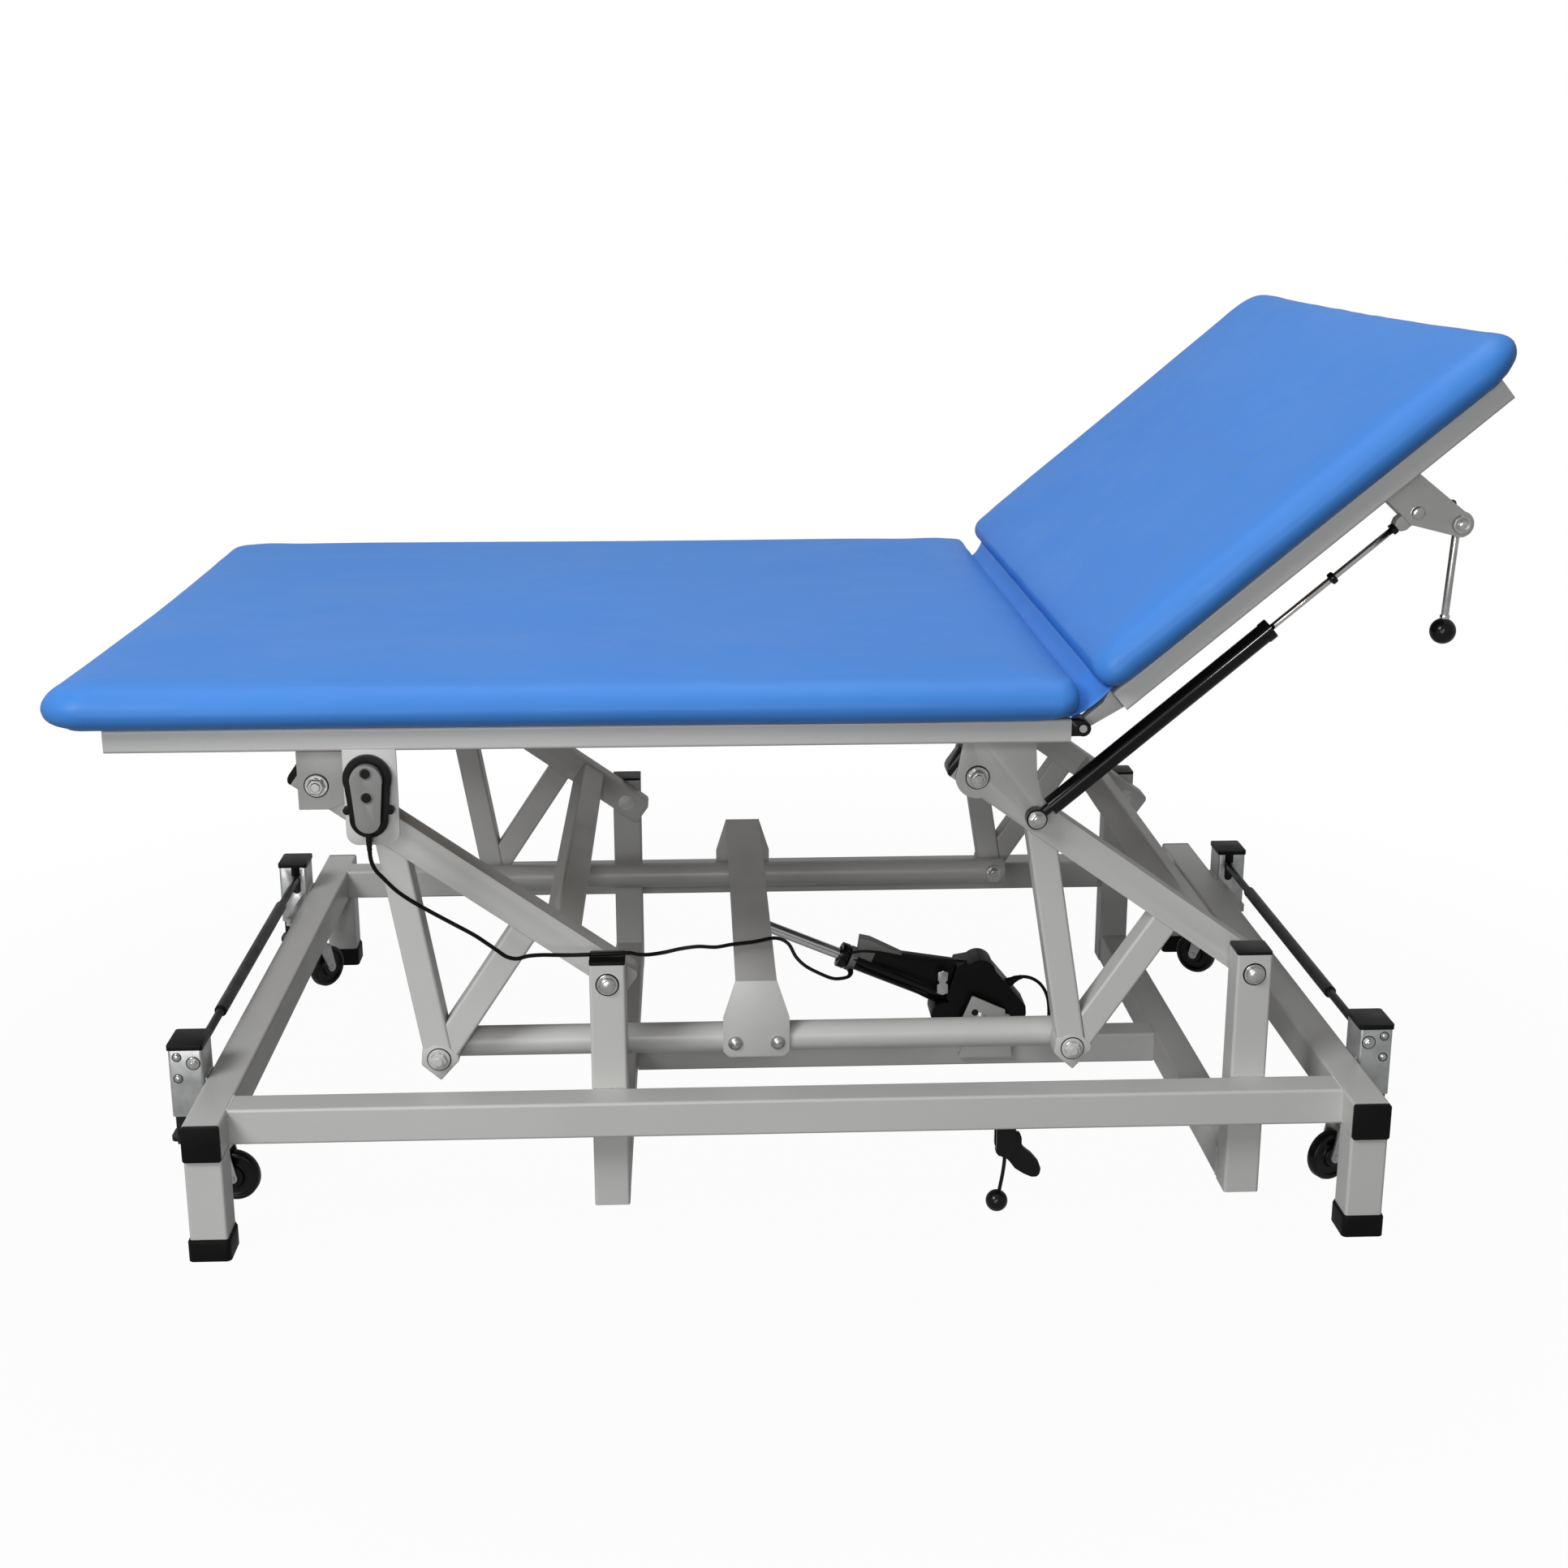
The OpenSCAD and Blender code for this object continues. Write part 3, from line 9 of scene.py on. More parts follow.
import bmesh
import bpy
from mathutils import Matrix, Vector, noise


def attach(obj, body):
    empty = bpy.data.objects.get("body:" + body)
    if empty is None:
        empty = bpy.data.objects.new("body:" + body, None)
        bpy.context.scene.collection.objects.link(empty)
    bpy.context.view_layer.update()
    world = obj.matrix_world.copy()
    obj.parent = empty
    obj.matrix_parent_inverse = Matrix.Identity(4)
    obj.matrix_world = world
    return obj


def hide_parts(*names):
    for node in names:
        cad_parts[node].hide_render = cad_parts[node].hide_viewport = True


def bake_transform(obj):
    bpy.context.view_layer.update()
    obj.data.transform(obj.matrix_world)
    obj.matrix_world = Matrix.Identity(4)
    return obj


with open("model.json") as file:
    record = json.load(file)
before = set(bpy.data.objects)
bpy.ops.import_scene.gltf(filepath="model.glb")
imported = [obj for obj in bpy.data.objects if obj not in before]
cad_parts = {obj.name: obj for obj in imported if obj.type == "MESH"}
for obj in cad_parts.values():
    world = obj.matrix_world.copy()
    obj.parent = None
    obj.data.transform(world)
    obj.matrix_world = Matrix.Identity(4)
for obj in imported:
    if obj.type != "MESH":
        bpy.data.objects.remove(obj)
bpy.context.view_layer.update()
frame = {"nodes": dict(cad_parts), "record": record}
log = logging.getLogger("treatment_table")
logging.basicConfig(level=logging.INFO, format="%(name)s: %(message)s")

Point = tuple[float, float, float]
Spot = tuple[float, float]
Outline = Sequence[Spot]
Shell = tuple[list[Vector], list[tuple[int, ...]]]
Obj = bpy.types.Object
Node = bpy.types.Node
Socket = bpy.types.NodeSocket
Tree = bpy.types.NodeTree

MM = 0.001
SHIFT = 25.5292  # The frame's zero lies this far left of the base's middle
HINGE = (367.0, 703.0)
BACK_ANGLE = 40.0
PAD_BOTTOM = 715.3
BACK_LIFT = 13.0  # The back pad's under face over the hinge line
PIVOTS = (-242.0, 626.0)  # The lift pivots on the posts
PIVOT_Z = 341.0
ARM = 460.0
ARM_ANGLE = 144.5
UPPER_PINS = (-616.5, 251.5)
UPPER_Z = 608.12
LOWER_PINS = (-475.1, 392.9)
LOWER_Z = 217.06
GAS_Y = -455.0
GAS_TOP = (805.3, 958.5)
WHITE = (1, 1, 1, 1)
THIN = 0.02  # Radius of a ring that closes a turned shape on its axis


class Slot(Enum):
    """The record's material slots."""

    FRAME = "frame"
    RUBBER = "rubber"
    CAP = "cap"
    ZINC = "zinc"
    BOLT = "bolt"
    DARK = "dark_metal"
    BOARD = "board"
    VINYL = "vinyl"
    HANDSET = "handset"
    CHROME = "chrome"
    BAR = "bar"
    TYRE = "tyre"
    CORD = "cord"


def place(x: float, y: float, z: float) -> Vector:
    """Turns a place in the base's own millimetres into the frame's metres."""
    return Vector(((x + SHIFT) * MM, y * MM, z * MM))


def turned(x: float, z: float, angle: float, origin: Spot) -> Spot:
    """A point of an outline that is turned, in degrees, and moved to its origin."""
    c, s = math.cos(math.radians(angle)), math.sin(math.radians(angle))
    return origin[0] + x * c - z * s, origin[1] + x * s + z * c


def on_back(l: float, y: float, n: float) -> Vector:
    """A point of the raised back: along it from the hinge, behind the middle, and square over the hinge line."""
    x, z = turned(l, n, BACK_ANGLE, HINGE)
    return place(x, y, z)


# Node trees


@dataclass
class Graph:
    """A node tree with short ways to fill it."""

    tree: Tree
    start: Node | None = None
    end: Node | None = None

    @classmethod
    def group(cls, name: str, inputs: dict[str, object], outputs: dict[str, str],
              kind: str = "ShaderNodeTree") -> "Graph":
        """Starts a node group.

        Args:
            name: The group's name.
            inputs: The first value of each input, or the kind of an input that has none.
            outputs: The kind of each output.
            kind: The group's own type.

        Returns:
            The group with its input and output nodes.
        """
        kinds = {float: "Float", int: "Int", tuple: "Color"}
        tree = bpy.data.node_groups.new(name, kind)
        for label, value in inputs.items():
            sort = value if isinstance(value, str) else kinds[type(value)]
            socket = tree.interface.new_socket(label, in_out="INPUT", socket_type=f"NodeSocket{sort}")
            if not isinstance(value, str):
                socket.default_value = value
        for label, sort in outputs.items():
            tree.interface.new_socket(label, in_out="OUTPUT", socket_type=f"NodeSocket{sort}")
        return cls(tree, tree.nodes.new("NodeGroupInput"), tree.nodes.new("NodeGroupOutput"))

    def fill(self, node: Node, inputs: dict[str | int, object]) -> None:
        """Sets a node's inputs.

        Args:
            node: The node.
            inputs: A value for each input, or the socket that feeds it.
        """
        for key, value in inputs.items():
            if isinstance(value, Socket):
                self.tree.links.new(value, node.inputs[key])
            else:
                node.inputs[key].default_value = value

    def node(self, kind: str, inputs: dict[str | int, object] | None = None, **settings: object) -> Node:
        """Adds a node.

        Args:
            kind: The node's type.
            inputs: A value for each input, or the socket that feeds it.
            settings: The node's own settings.

        Returns:
            The node.
        """
        made = self.tree.nodes.new(kind)
        for label, value in settings.items():
            setattr(made, label, value)
        self.fill(made, inputs or {})
        return made

    def math(self, operation: str, *values: object) -> Socket:
        """The result of a sum on sockets and numbers."""
        return self.node("ShaderNodeMath", dict(enumerate(values)), operation=operation).outputs[0]

    def given(self, label: str) -> Socket:
        """One of the group's named inputs."""
        return self.start.outputs[label]

    def ended(self, results: dict[str | int, Socket]) -> Tree:
        """Feeds the group's outputs and hands over its tree."""
        self.fill(self.end, results)
        return self.tree


@dataclass
class Effects:
    """Shader groups that the finishes share."""

    mottle: Tree | None = None
    grain: Tree | None = None
    scuff: Tree | None = None

    def build(self) -> None:
        """Builds every group once."""
        self.mottle, self.grain, self.scuff = self._mottle(), self._grain(), self._scuff()

    def _mottle(self) -> Tree:
        """Slow colour change between two tones.

        Returns:
            The group.
        """
        g = Graph.group("slow_mottle", {"Scale": 6.0, "Tone A": (0.5, 0.5, 0.5, 1), "Tone B": (0.6, 0.6, 0.6, 1)},
                        {"Color": "Color"})
        where = g.node("ShaderNodeTexCoord")
        soft = g.node("ShaderNodeTexNoise", {"Vector": where.outputs["Object"], "Scale": g.given("Scale"),
                                             "Detail": 4.0, "Roughness": 0.55})
        ramp = g.node("ShaderNodeMapRange", {"Value": soft.outputs["Fac"], "From Min": 0.3, "From Max": 0.7})
        mix = g.node("ShaderNodeMix", data_type="RGBA")
        g.fill(mix, {0: ramp.outputs["Result"], 6: g.given("Tone A"), 7: g.given("Tone B")})
        return g.ended({"Color": mix.outputs[2]})

    def _grain(self) -> Tree:
        """Fine height of two sizes, for orange peel, leather grain and moulded plastic.

        Returns:
            The group.
        """
        g = Graph.group("fine_grain", {"Cell Scale": 900.0, "Wave Scale": 60.0, "Wave Share": 0.4}, {"Height": "Float"})
        where = g.node("ShaderNodeTexCoord").outputs["Object"]
        cell = g.node("ShaderNodeTexVoronoi", {"Vector": where, "Scale": g.given("Cell Scale")}, feature="SMOOTH_F1")
        wave = g.node("ShaderNodeTexNoise", {"Vector": where, "Scale": g.given("Wave Scale"), "Detail": 3.0})
        mix = g.node("ShaderNodeMix", {0: g.given("Wave Share"), 2: cell.outputs["Distance"], 3: wave.outputs["Fac"]})
        return g.ended({"Height": mix.outputs[0]})

    def _scuff(self) -> Tree:
        """Roughness with rubbed patches that are drawn out.

        Returns:
            The group.
        """
        g = Graph.group("rubbed_patches", {"Scale": 14.0, "Low": 0.35, "High": 0.5}, {"Roughness": "Float"})
        where = g.node("ShaderNodeTexCoord")
        stretch = g.node("ShaderNodeMapping", {"Vector": where.outputs["Object"], "Scale": (1.0, 1.0, 3.0)})
        patch = g.node("ShaderNodeTexNoise", {"Vector": stretch.outputs["Vector"], "Scale": g.given("Scale"),
                                              "Detail": 6.0, "Roughness": 0.65})
        ramp = g.node("ShaderNodeMapRange", {"Value": patch.outputs["Fac"], "From Min": 0.35, "From Max": 0.65,
                                             "To Min": g.given("Low"), "To Max": g.given("High")})
        return g.ended({"Roughness": ramp.outputs["Result"]})


@dataclass(frozen=True)
class Finish:
    """One surface finish, made from the shared effects."""

    name: str
    tone_a: Point
    tone_b: Point
    rough: Spot
    metallic: float = 0.0
    mottle: float = 6.0
    scuff: float = 14.0
    cell: float = 900.0
    wave: float = 60.0
    wave_share: float = 0.4
    bump: float = 0.1
    bump_depth: float = 0.0004
    coat: float = 0.0
    coat_rough: float = 0.2
    specular: float = 0.5

    def material(self, effects: Effects) -> bpy.types.Material:
        """Builds the material.

        Args:
            effects: The shared shader groups.

        Returns:
            The material.
        """
        made = bpy.data.materials.new(self.name)
        made.use_nodes = True
        g = Graph(made.node_tree)
        mottle = g.node("ShaderNodeGroup", node_tree=effects.mottle)
        g.fill(mottle, {"Scale": self.mottle, "Tone A": (*self.tone_a, 1), "Tone B": (*self.tone_b, 1)})
        scuff = g.node("ShaderNodeGroup", node_tree=effects.scuff)
        g.fill(scuff, {"Scale": self.scuff, "Low": self.rough[0], "High": self.rough[1]})
        grain = g.node("ShaderNodeGroup", node_tree=effects.grain)
        g.fill(grain, {"Cell Scale": self.cell, "Wave Scale": self.wave, "Wave Share": self.wave_share})
        bump = g.node("ShaderNodeBump", {"Strength": self.bump, "Distance": self.bump_depth,
                                         "Height": grain.outputs["Height"]})
        g.fill(made.node_tree.nodes["Principled BSDF"], {
            "Metallic": self.metallic, "Coat Weight": self.coat, "Coat Roughness": self.coat_rough,
            "Specular IOR Level": self.specular, "Base Color": mottle.outputs["Color"],
            "Roughness": scuff.outputs["Roughness"], "Normal": bump.outputs["Normal"]})
        return made


FINISHES: dict[Slot, Finish] = {
    Slot.FRAME: Finish("powder_coat_grey", (0.575, 0.575, 0.56), (0.62, 0.62, 0.605), (0.34, 0.46), mottle=3.0,
                       cell=1100, wave=220, wave_share=0.5, bump=0.22, coat=0.25, coat_rough=0.28),
    Slot.RUBBER: Finish("boot_rubber", (0.003, 0.003, 0.0035), (0.008, 0.008, 0.009), (0.42, 0.62), cell=600,
                        bump=0.3, specular=0.12),
    Slot.CAP: Finish("moulded_black", (0.0025, 0.0025, 0.003), (0.006, 0.006, 0.007), (0.3, 0.44), cell=1400,
                     bump=0.2, specular=0.16),
    Slot.ZINC: Finish("galvanised_steel", (0.42, 0.43, 0.43), (0.60, 0.61, 0.61), (0.26, 0.44), metallic=0.75,
                      mottle=40, cell=300, wave=90, bump=0.25, bump_depth=0.0003),
    Slot.BOLT: Finish("zinc_bolt", (0.46, 0.46, 0.455), (0.64, 0.64, 0.63), (0.2, 0.36), metallic=0.9, mottle=90,
                      bump=0.12),
    Slot.DARK: Finish("black_coated_steel", (0.003, 0.003, 0.0035), (0.007, 0.007, 0.008), (0.24, 0.34), coat=0.35,
                      coat_rough=0.05, bump=0.05, specular=0.1),
    Slot.BOARD: Finish("birch_ply", (0.38, 0.24, 0.13), (0.52, 0.36, 0.22), (0.5, 0.66), mottle=9, wave=30, bump=0.25),
    Slot.VINYL: Finish("blue_upholstery_vinyl", (0.050, 0.220, 0.650), (0.058, 0.238, 0.685), (0.38, 0.46),
                       mottle=2.2, scuff=5, cell=1300, wave=240, wave_share=0.35, bump=0.16, specular=0.2),
    Slot.HANDSET: Finish("handset_grey", (0.22, 0.22, 0.215), (0.27, 0.27, 0.265), (0.4, 0.52), cell=1500, bump=0.22),
    Slot.CHROME: Finish("polished_rod", (0.66, 0.66, 0.67), (0.74, 0.74, 0.74), (0.1, 0.18), metallic=1.0, bump=0.04),
    Slot.BAR: Finish("worn_black_bar", (0.008, 0.008, 0.008), (0.03, 0.03, 0.03), (0.26, 0.42), metallic=0.3,
                     mottle=30, specular=0.2),
    Slot.TYRE: Finish("wheel_black", (0.004, 0.004, 0.004), (0.009, 0.009, 0.009), (0.26, 0.42), cell=700, bump=0.2,
                      specular=0.25),
    Slot.CORD: Finish("cord_sheath", (0.003, 0.003, 0.003), (0.006, 0.006, 0.006), (0.32, 0.46), cell=1200,
                      bump=0.15, specular=0.15),
}


@dataclass
class Paint:
    """The materials by slot, and the dressing of the pieces."""

    effects: Effects = field(default_factory=Effects)
    made: dict[Slot, bpy.types.Material] = field(default_factory=dict)

    def build(self) -> None:
        """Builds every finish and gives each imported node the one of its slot."""
        self.effects.build()
        for slot, finish in FINISHES.items():
            self.made[slot] = finish.material(self.effects)
        for part in frame["record"]["subparts"]:
            materials = frame["nodes"][part["node"]].data.materials
            finish = self.made[Slot(part["material_slot"])]
            if not materials:
                materials.append(finish)
            for index in range(len(materials)):
                materials[index] = finish

    def dress(self, obj: Obj, slot: Slot, body: str = "", replaced: Sequence[str] = ()) -> Obj:
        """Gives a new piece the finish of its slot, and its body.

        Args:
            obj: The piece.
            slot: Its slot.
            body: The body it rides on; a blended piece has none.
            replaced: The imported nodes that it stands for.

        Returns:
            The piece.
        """
        obj.data.materials.clear()
        obj.data.materials.append(self.made[slot])
        if body:
            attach(obj, body)
        if replaced:
            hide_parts(*replaced)
        return obj


# Mesh helpers


def mesh_object(name: str, points: Iterable[Sequence[float]], faces: Iterable[Sequence[int]],
                edges: Sequence[tuple[int, int]] = ()) -> Obj:
    """Makes a smooth object at the origin.

    Args:
        name: The piece's name.
        points: The points, in metres.
        faces: The faces, as point numbers.
        edges: Loose edges, as point numbers.

    Returns:
        The object.
    """
    mesh = bpy.data.meshes.new(name)
    mesh.from_pydata([tuple(p) for p in points], list(edges), [tuple(f) for f in faces])
    mesh.update()
    made = bpy.data.objects.new(name, mesh)
    bpy.context.collection.objects.link(made)
    for face in mesh.polygons:
        face.use_smooth = True
    return made


def recalculated(obj: Obj, merge: float = 1e-6, flat: float = 0.0) -> Obj:
    """Merges an object's doubles, joins its flat faces and points its faces outwards.

    Args:
        obj: The object.
        merge: Points nearer than this, in metres, become one; none do at 0.
        flat: Faces that meet at less than this many degrees become one; none do at 0.

    Returns:
        The same object.
    """
    shell = bmesh.new()
    shell.from_mesh(obj.data)
    if merge:
        bmesh.ops.remove_doubles(shell, verts=shell.verts, dist=merge)
    if flat:
        bmesh.ops.dissolve_limit(shell, angle_limit=math.radians(flat), verts=shell.verts, edges=shell.edges)
    bmesh.ops.recalc_face_normals(shell, faces=shell.faces)
    shell.to_mesh(obj.data)
    shell.free()
    return obj


def ring_faces(rings: int, count: int) -> list[tuple[int, ...]]:
    """Faces between rings of equal count, with a cap at both ends."""
    faces = [(j * count + i, j * count + (i + 1) % count, (j + 1) * count + (i + 1) % count, (j + 1) * count + i)
             for j in range(rings - 1) for i in range(count)]
    return faces + [tuple(reversed(range(count))), tuple(range((rings - 1) * count, rings * count))]


def smooth_line(points: Sequence[Vector], steps: int) -> list[Vector]:
    """A Catmull-Rom curve through points.

    Args:
        points: The points that the curve passes.
        steps: New points between two of them.

    Returns:
        The points of the curve.
    """
    line: list[Vector] = []
    for i in range(len(points) - 1):
        a, b, c, d = (points[max(i - 1, 0)], points[i], points[i + 1], points[min(i + 2, len(points) - 1)])
        for k in range(steps):
            t = k / steps
            line.append(0.5 * ((2 * b) + (c - a) * t + (2 * a - 5 * b + 4 * c - d) * t * t
                               + (3 * b - a - 3 * c + d) * t ** 3))
    line.append(points[-1].copy())
    return line


def swept(points: Sequence[Vector], radius: float | Sequence[float], sides: int = 12) -> Shell:
    """A round tube along points, with its frame carried along so that it doesn't twist.

    Args:
        points: The centre line.
        radius: One radius, or one for each point.
        sides: Sides of the tube.

    Returns:
        Points and faces.
    """
    made: list[Vector] = []
    across = Vector((0, 0, 1))
    for i, p in enumerate(points):
        ahead = (points[min(i + 1, len(points) - 1)] - points[max(i - 1, 0)]).normalized()
        if abs(ahead.dot(across)) > 0.98:
            across = ahead.orthogonal()
        across = (across - ahead * across.dot(ahead)).normalized()
        other = ahead.cross(across)
        r = radius if isinstance(radius, float) else radius[i]
        made += [p + r * (math.cos(2 * math.pi * k / sides) * across + math.sin(2 * math.pi * k / sides) * other)
                 for k in range(sides)]
    return made, ring_faces(len(points), sides)


def spun(profile: Outline, centre: Vector, axis: Vector, count: int) -> Shell:
    """A turned shape.

    Args:
        profile: Radius and distance along the axis of each ring, in millimetres.
        centre: Where the axis starts.
        axis: The axis.
        count: Points round the axis.

    Returns:
        Points and faces.
    """
    along = axis.normalized()
    u = along.orthogonal().normalized()
    v = along.cross(u)
    made = [centre + along * d + r * (math.cos(2 * math.pi * k / count) * u + math.sin(2 * math.pi * k / count) * v)
            for r, d in ((r * MM, d * MM) for r, d in profile) for k in range(count)]
    return made, ring_faces(len(profile), count)


def facing_front(x: float, y: float, z: float, profile: Outline, count: int = 36) -> Shell:
    """A turned shape that looks to the front from its place."""
    return spun(profile, place(x, y, z), Vector((0, -1, 0)), count)


def ball_profile(radius: float, steps: int = 14) -> list[Spot]:
    """Rings of a ball from pole to pole."""
    return [(max(radius * math.sin(math.pi * k / steps), THIN), -radius * math.cos(math.pi * k / steps))
            for k in range(steps + 1)]


def drum_profile(radius: float, low: float, high: float) -> list[Spot]:
    """Rings of a plain cylinder."""
    return [(THIN, low), (radius, low), (radius, high), (THIN, high)]


def slab(outline: Outline, y0: float, y1: float, origin: Spot = (0.0, 0.0), turn: float = 0.0) -> Shell:
    """A flat shape, its corners given along and up, that reaches from one place across the table to another."""
    spots = [turned(x, z, turn, origin) for x, z in outline]
    return [place(x, y, z) for y in (y0, y1) for x, z in spots], ring_faces(2, len(spots))


def slabs(outline: Outline, y0: float, y1: float, origin: Spot = (0.0, 0.0), turn: float = 0.0) -> list[Shell]:
    """The same flat shape in front of the middle and behind it."""
    return [slab(outline, side * y0, side * y1, origin, turn) for side in (-1, 1)]


def apply_modifiers(obj: Obj) -> Obj:
    """Turns what the modifiers make into the object's own mesh.

    Args:
        obj: The object.

    Returns:
        The same object with no modifiers.
    """
    bpy.context.view_layer.update()
    mesh = bpy.data.meshes.new_from_object(obj.evaluated_get(bpy.context.evaluated_depsgraph_get()))
    obj.modifiers.clear()
    obj.data = mesh
    return obj


def smoothed(obj: Obj, sharp: float) -> Obj:
    """Smooths an object apart from the edges that are sharper than this many degrees.

    Args:
        obj: The object.
        sharp: The angle.

    Returns:
        The same object.
    """
    for face in obj.data.polygons:
        face.use_smooth = True
    obj.data.set_sharp_from_angle(angle=math.radians(sharp))
    return obj


def bevelled(obj: Obj, width: float, segments: int, angle: float) -> Obj:
    """Rounds an object's sharp edges and smooths it by angle.

    Args:
        obj: The object.
        width: Width of the bevel, in millimetres.
        segments: Steps of the bevel.
        angle: Edges sharper than this are rounded.

    Returns:
        The same object.
    """
    cut = obj.modifiers.new("rounded", "BEVEL")
    cut.width = width * MM
    cut.segments = segments
    cut.limit_method = "ANGLE"
    cut.angle_limit = math.radians(angle)
    return smoothed(apply_modifiers(obj), 40)


# Upholstery


@dataclass
class Pad:
    """One upholstered pad: rounded foam under smooth vinyl, drawn in at the sides and tucked under its board."""

    name: str
    node: str
    body: str
    start: float
    end: float
    where: Callable[[float, float, float], Vector]
    width: float = 1200.0
    thick: float = 57.5
    corner: float = 66.0
    nose: float = 34.0
    draw: float = 6.0
    pocket: float = 46.0
    far_in: float = 0.0
    board: float = 12.3
    swell: float = 3.5
    seed: float = 3.0
    # Share of the thickness and distance in from the side, up the edge
    edge: Outline = (
        (0.0, 30.0), (0.02, 23.5), (0.05, 17.5), (0.09, 12.2), (0.14, 7.8), (0.20, 4.3), (0.27, 1.9), (0.34, 0.6),
        (0.41, 0.0), (0.48, 0.5), (0.55, 1.9), (0.62, 4.2), (0.69, 7.4), (0.76, 11.6), (0.82, 16.4), (0.87, 21.8),
        (0.91, 28.0), (0.94, 35.6), (0.962, 46.0))
    # Share of the thickness and share of the way in, over the top
    crown: Outline = (
        (0.974, 0.02), (0.983, 0.06), (0.990, 0.12), (0.995, 0.20), (1.0, 0.30), (1.003, 0.41), (1.006, 0.53),
        (1.009, 0.65), (1.011, 0.77), (1.012, 0.89), (1.012, 1.0))
    arc: int = 14
    long_side: int = 84
    short_side: int = 48
    frames: int = 20

    def _outline(self, inset: float, nose: float, radius: float, near: float, bow: float) -> list[Spot]:
        """A rounded rectangle whose sides draw in between the corners.

        Args:
            inset: Distance in from the sides and the far end.
            nose: Distance in from the hinge end.
            radius: Radius of the far corners.
            near: Radius of the corners at the hinge.
            bow: Pull-in of the sides.

        Returns:
            The points, in millimetres.
        """
        x0, x1 = self.start + inset + self.far_in, self.end - nose
        w = self.width / 2 - inset
        corners = (((x1 - near, w - near), near, 0), ((x0 + radius, w - radius), radius, 90),
                   ((x0 + radius, -w + radius), radius, 180), ((x1 - near, -w + near), near, 270))
        arcs = [[turned(r, 0.0, a + 90 * i / self.arc, c) for i in range(self.arc + 1)] for c, r, a in corners]
        made: list[Spot] = []
        for k in range(4):
            made += arcs[k]
            a, b = arcs[k][-1], arcs[(k + 1) % 4][0]
            count = self.long_side if k % 2 == 0 else self.short_side
            dx, dy = b[0] - a[0], b[1] - a[1]
            length = math.hypot(dx, dy)
            pull = 0.0 if k == 3 else bow
            for i in range(1, count + 1):
                t = i / (count + 1)
                s = pull * math.sin(math.pi * t)
                made.append((a[0] + dx * t - dy / length * s, a[1] + dy * t + dx / length * s))
        return made

    def _nose_in(self, t: float) -> float:
        """How far the nose stands back at a share of the height."""
        return self.nose * (1 - math.sqrt(max(0.0, 1 - (2 * t - 1) ** 2)))

    def _rings(self) -> list[list[Point]]:
        """The rings from the roof of the board's pocket, round the edge, to the crown.

        Returns:
            The rings, in the pad's own millimetres.
        """
        rings = [[(x, y, z) for x, y in self._outline(self.pocket, self.pocket, 12, 12, 0)]
                 for z in (self.board, self.board * 0.5, 0.4)]
        for inset in (42.0, 38.0, 34.0):
            rings.append([(x, y, 0.0) for x, y in self._outline(inset, max(inset, self.nose + 2), 26, 18, 2)])
        reach = min(self.end - self.start, self.width) / 2 - 30
        last = self.edge[-1][1]
        for t, inset in (*self.edge, *((t, last + share * (reach - last)) for t, share in self.crown)):
            nose = self._nose_in(min(t, 0.93)) if inset < 24 else max(self._nose_in(0.93), inset)
            outline = self._outline(inset, nose, max(self.corner - inset, 14.0), max(29.0 - inset * 0.3, 12.0),
                                    self.draw * max(0.0, 1 - inset / 300))
            rings.append([(x, y, t * self.thick) for x, y in outline])
        return rings

    def _plump(self, body: Obj, held: Sequence[int]) -> None:
        """Swells the cover over its foam with a short cloth run and keeps each point near its place.

        Args:
            body: The pad.
            held: The points that are tacked down under the board.
        """
        before = [v.co.copy() for v in body.data.vertices]
        body.vertex_groups.new(name="held").add(list(held), 1.0, "REPLACE")
        cover = body.modifiers.new("cover", "CLOTH")
        for label, value in (("quality", 5), ("mass", 0.3), ("tension_stiffness", 20.0),
                             ("compression_stiffness", 20.0), ("bending_stiffness", 2.0), ("use_pressure", True),
                             ("uniform_pressure_force", 4.0), ("vertex_group_mass", "held")):
            setattr(cover.settings, label, value)
        cover.settings.effector_weights.gravity = 0.0
        cover.collision_settings.use_collision = False
        cover.point_cache.frame_start = 1
        cover.point_cache.frame_end = self.frames
        for step in range(1, self.frames + 1):
            bpy.context.scene.frame_set(step)
        apply_modifiers(body)
        bpy.context.scene.frame_set(1)
        for vertex, was in zip(body.data.vertices, before):
            move = vertex.co - was
            if move.length > self.swell * MM:
                vertex.co = was + move * (self.swell * MM / move.length)
        body.vertex_groups.clear()

    def _pull(self, x: float, y: float, z: float) -> float:
        """How far the vinyl stands out or in: slow unevenness on top, short puckers where the edge is drawn down.

        Args:
            x: Place along the pad, in millimetres.
            y: Place across the pad.
            z: Height in the pad.

        Returns:
            The distance, in millimetres.
        """
        share = z / self.thick
        if share < 0.03:
            return 0.0
        edge = min(x - self.start, self.width / 2 - abs(y), self.end - x)
        slow, short, fine = (noise.noise(Vector((x * rate, y * rate, self.seed + step)))
                             for rate, step in ((0.004, 0), (0.016, 7), (0.045, 13)))
        near = max(0.0, 1 - edge / 42.0)
        band = math.exp(-((share - 0.72) / 0.22) ** 2)
        return 0.8 * slow * min(max(edge, 0.0) / 80.0, 1.0) + near * band * (1.5 * short + 0.5 * fine)

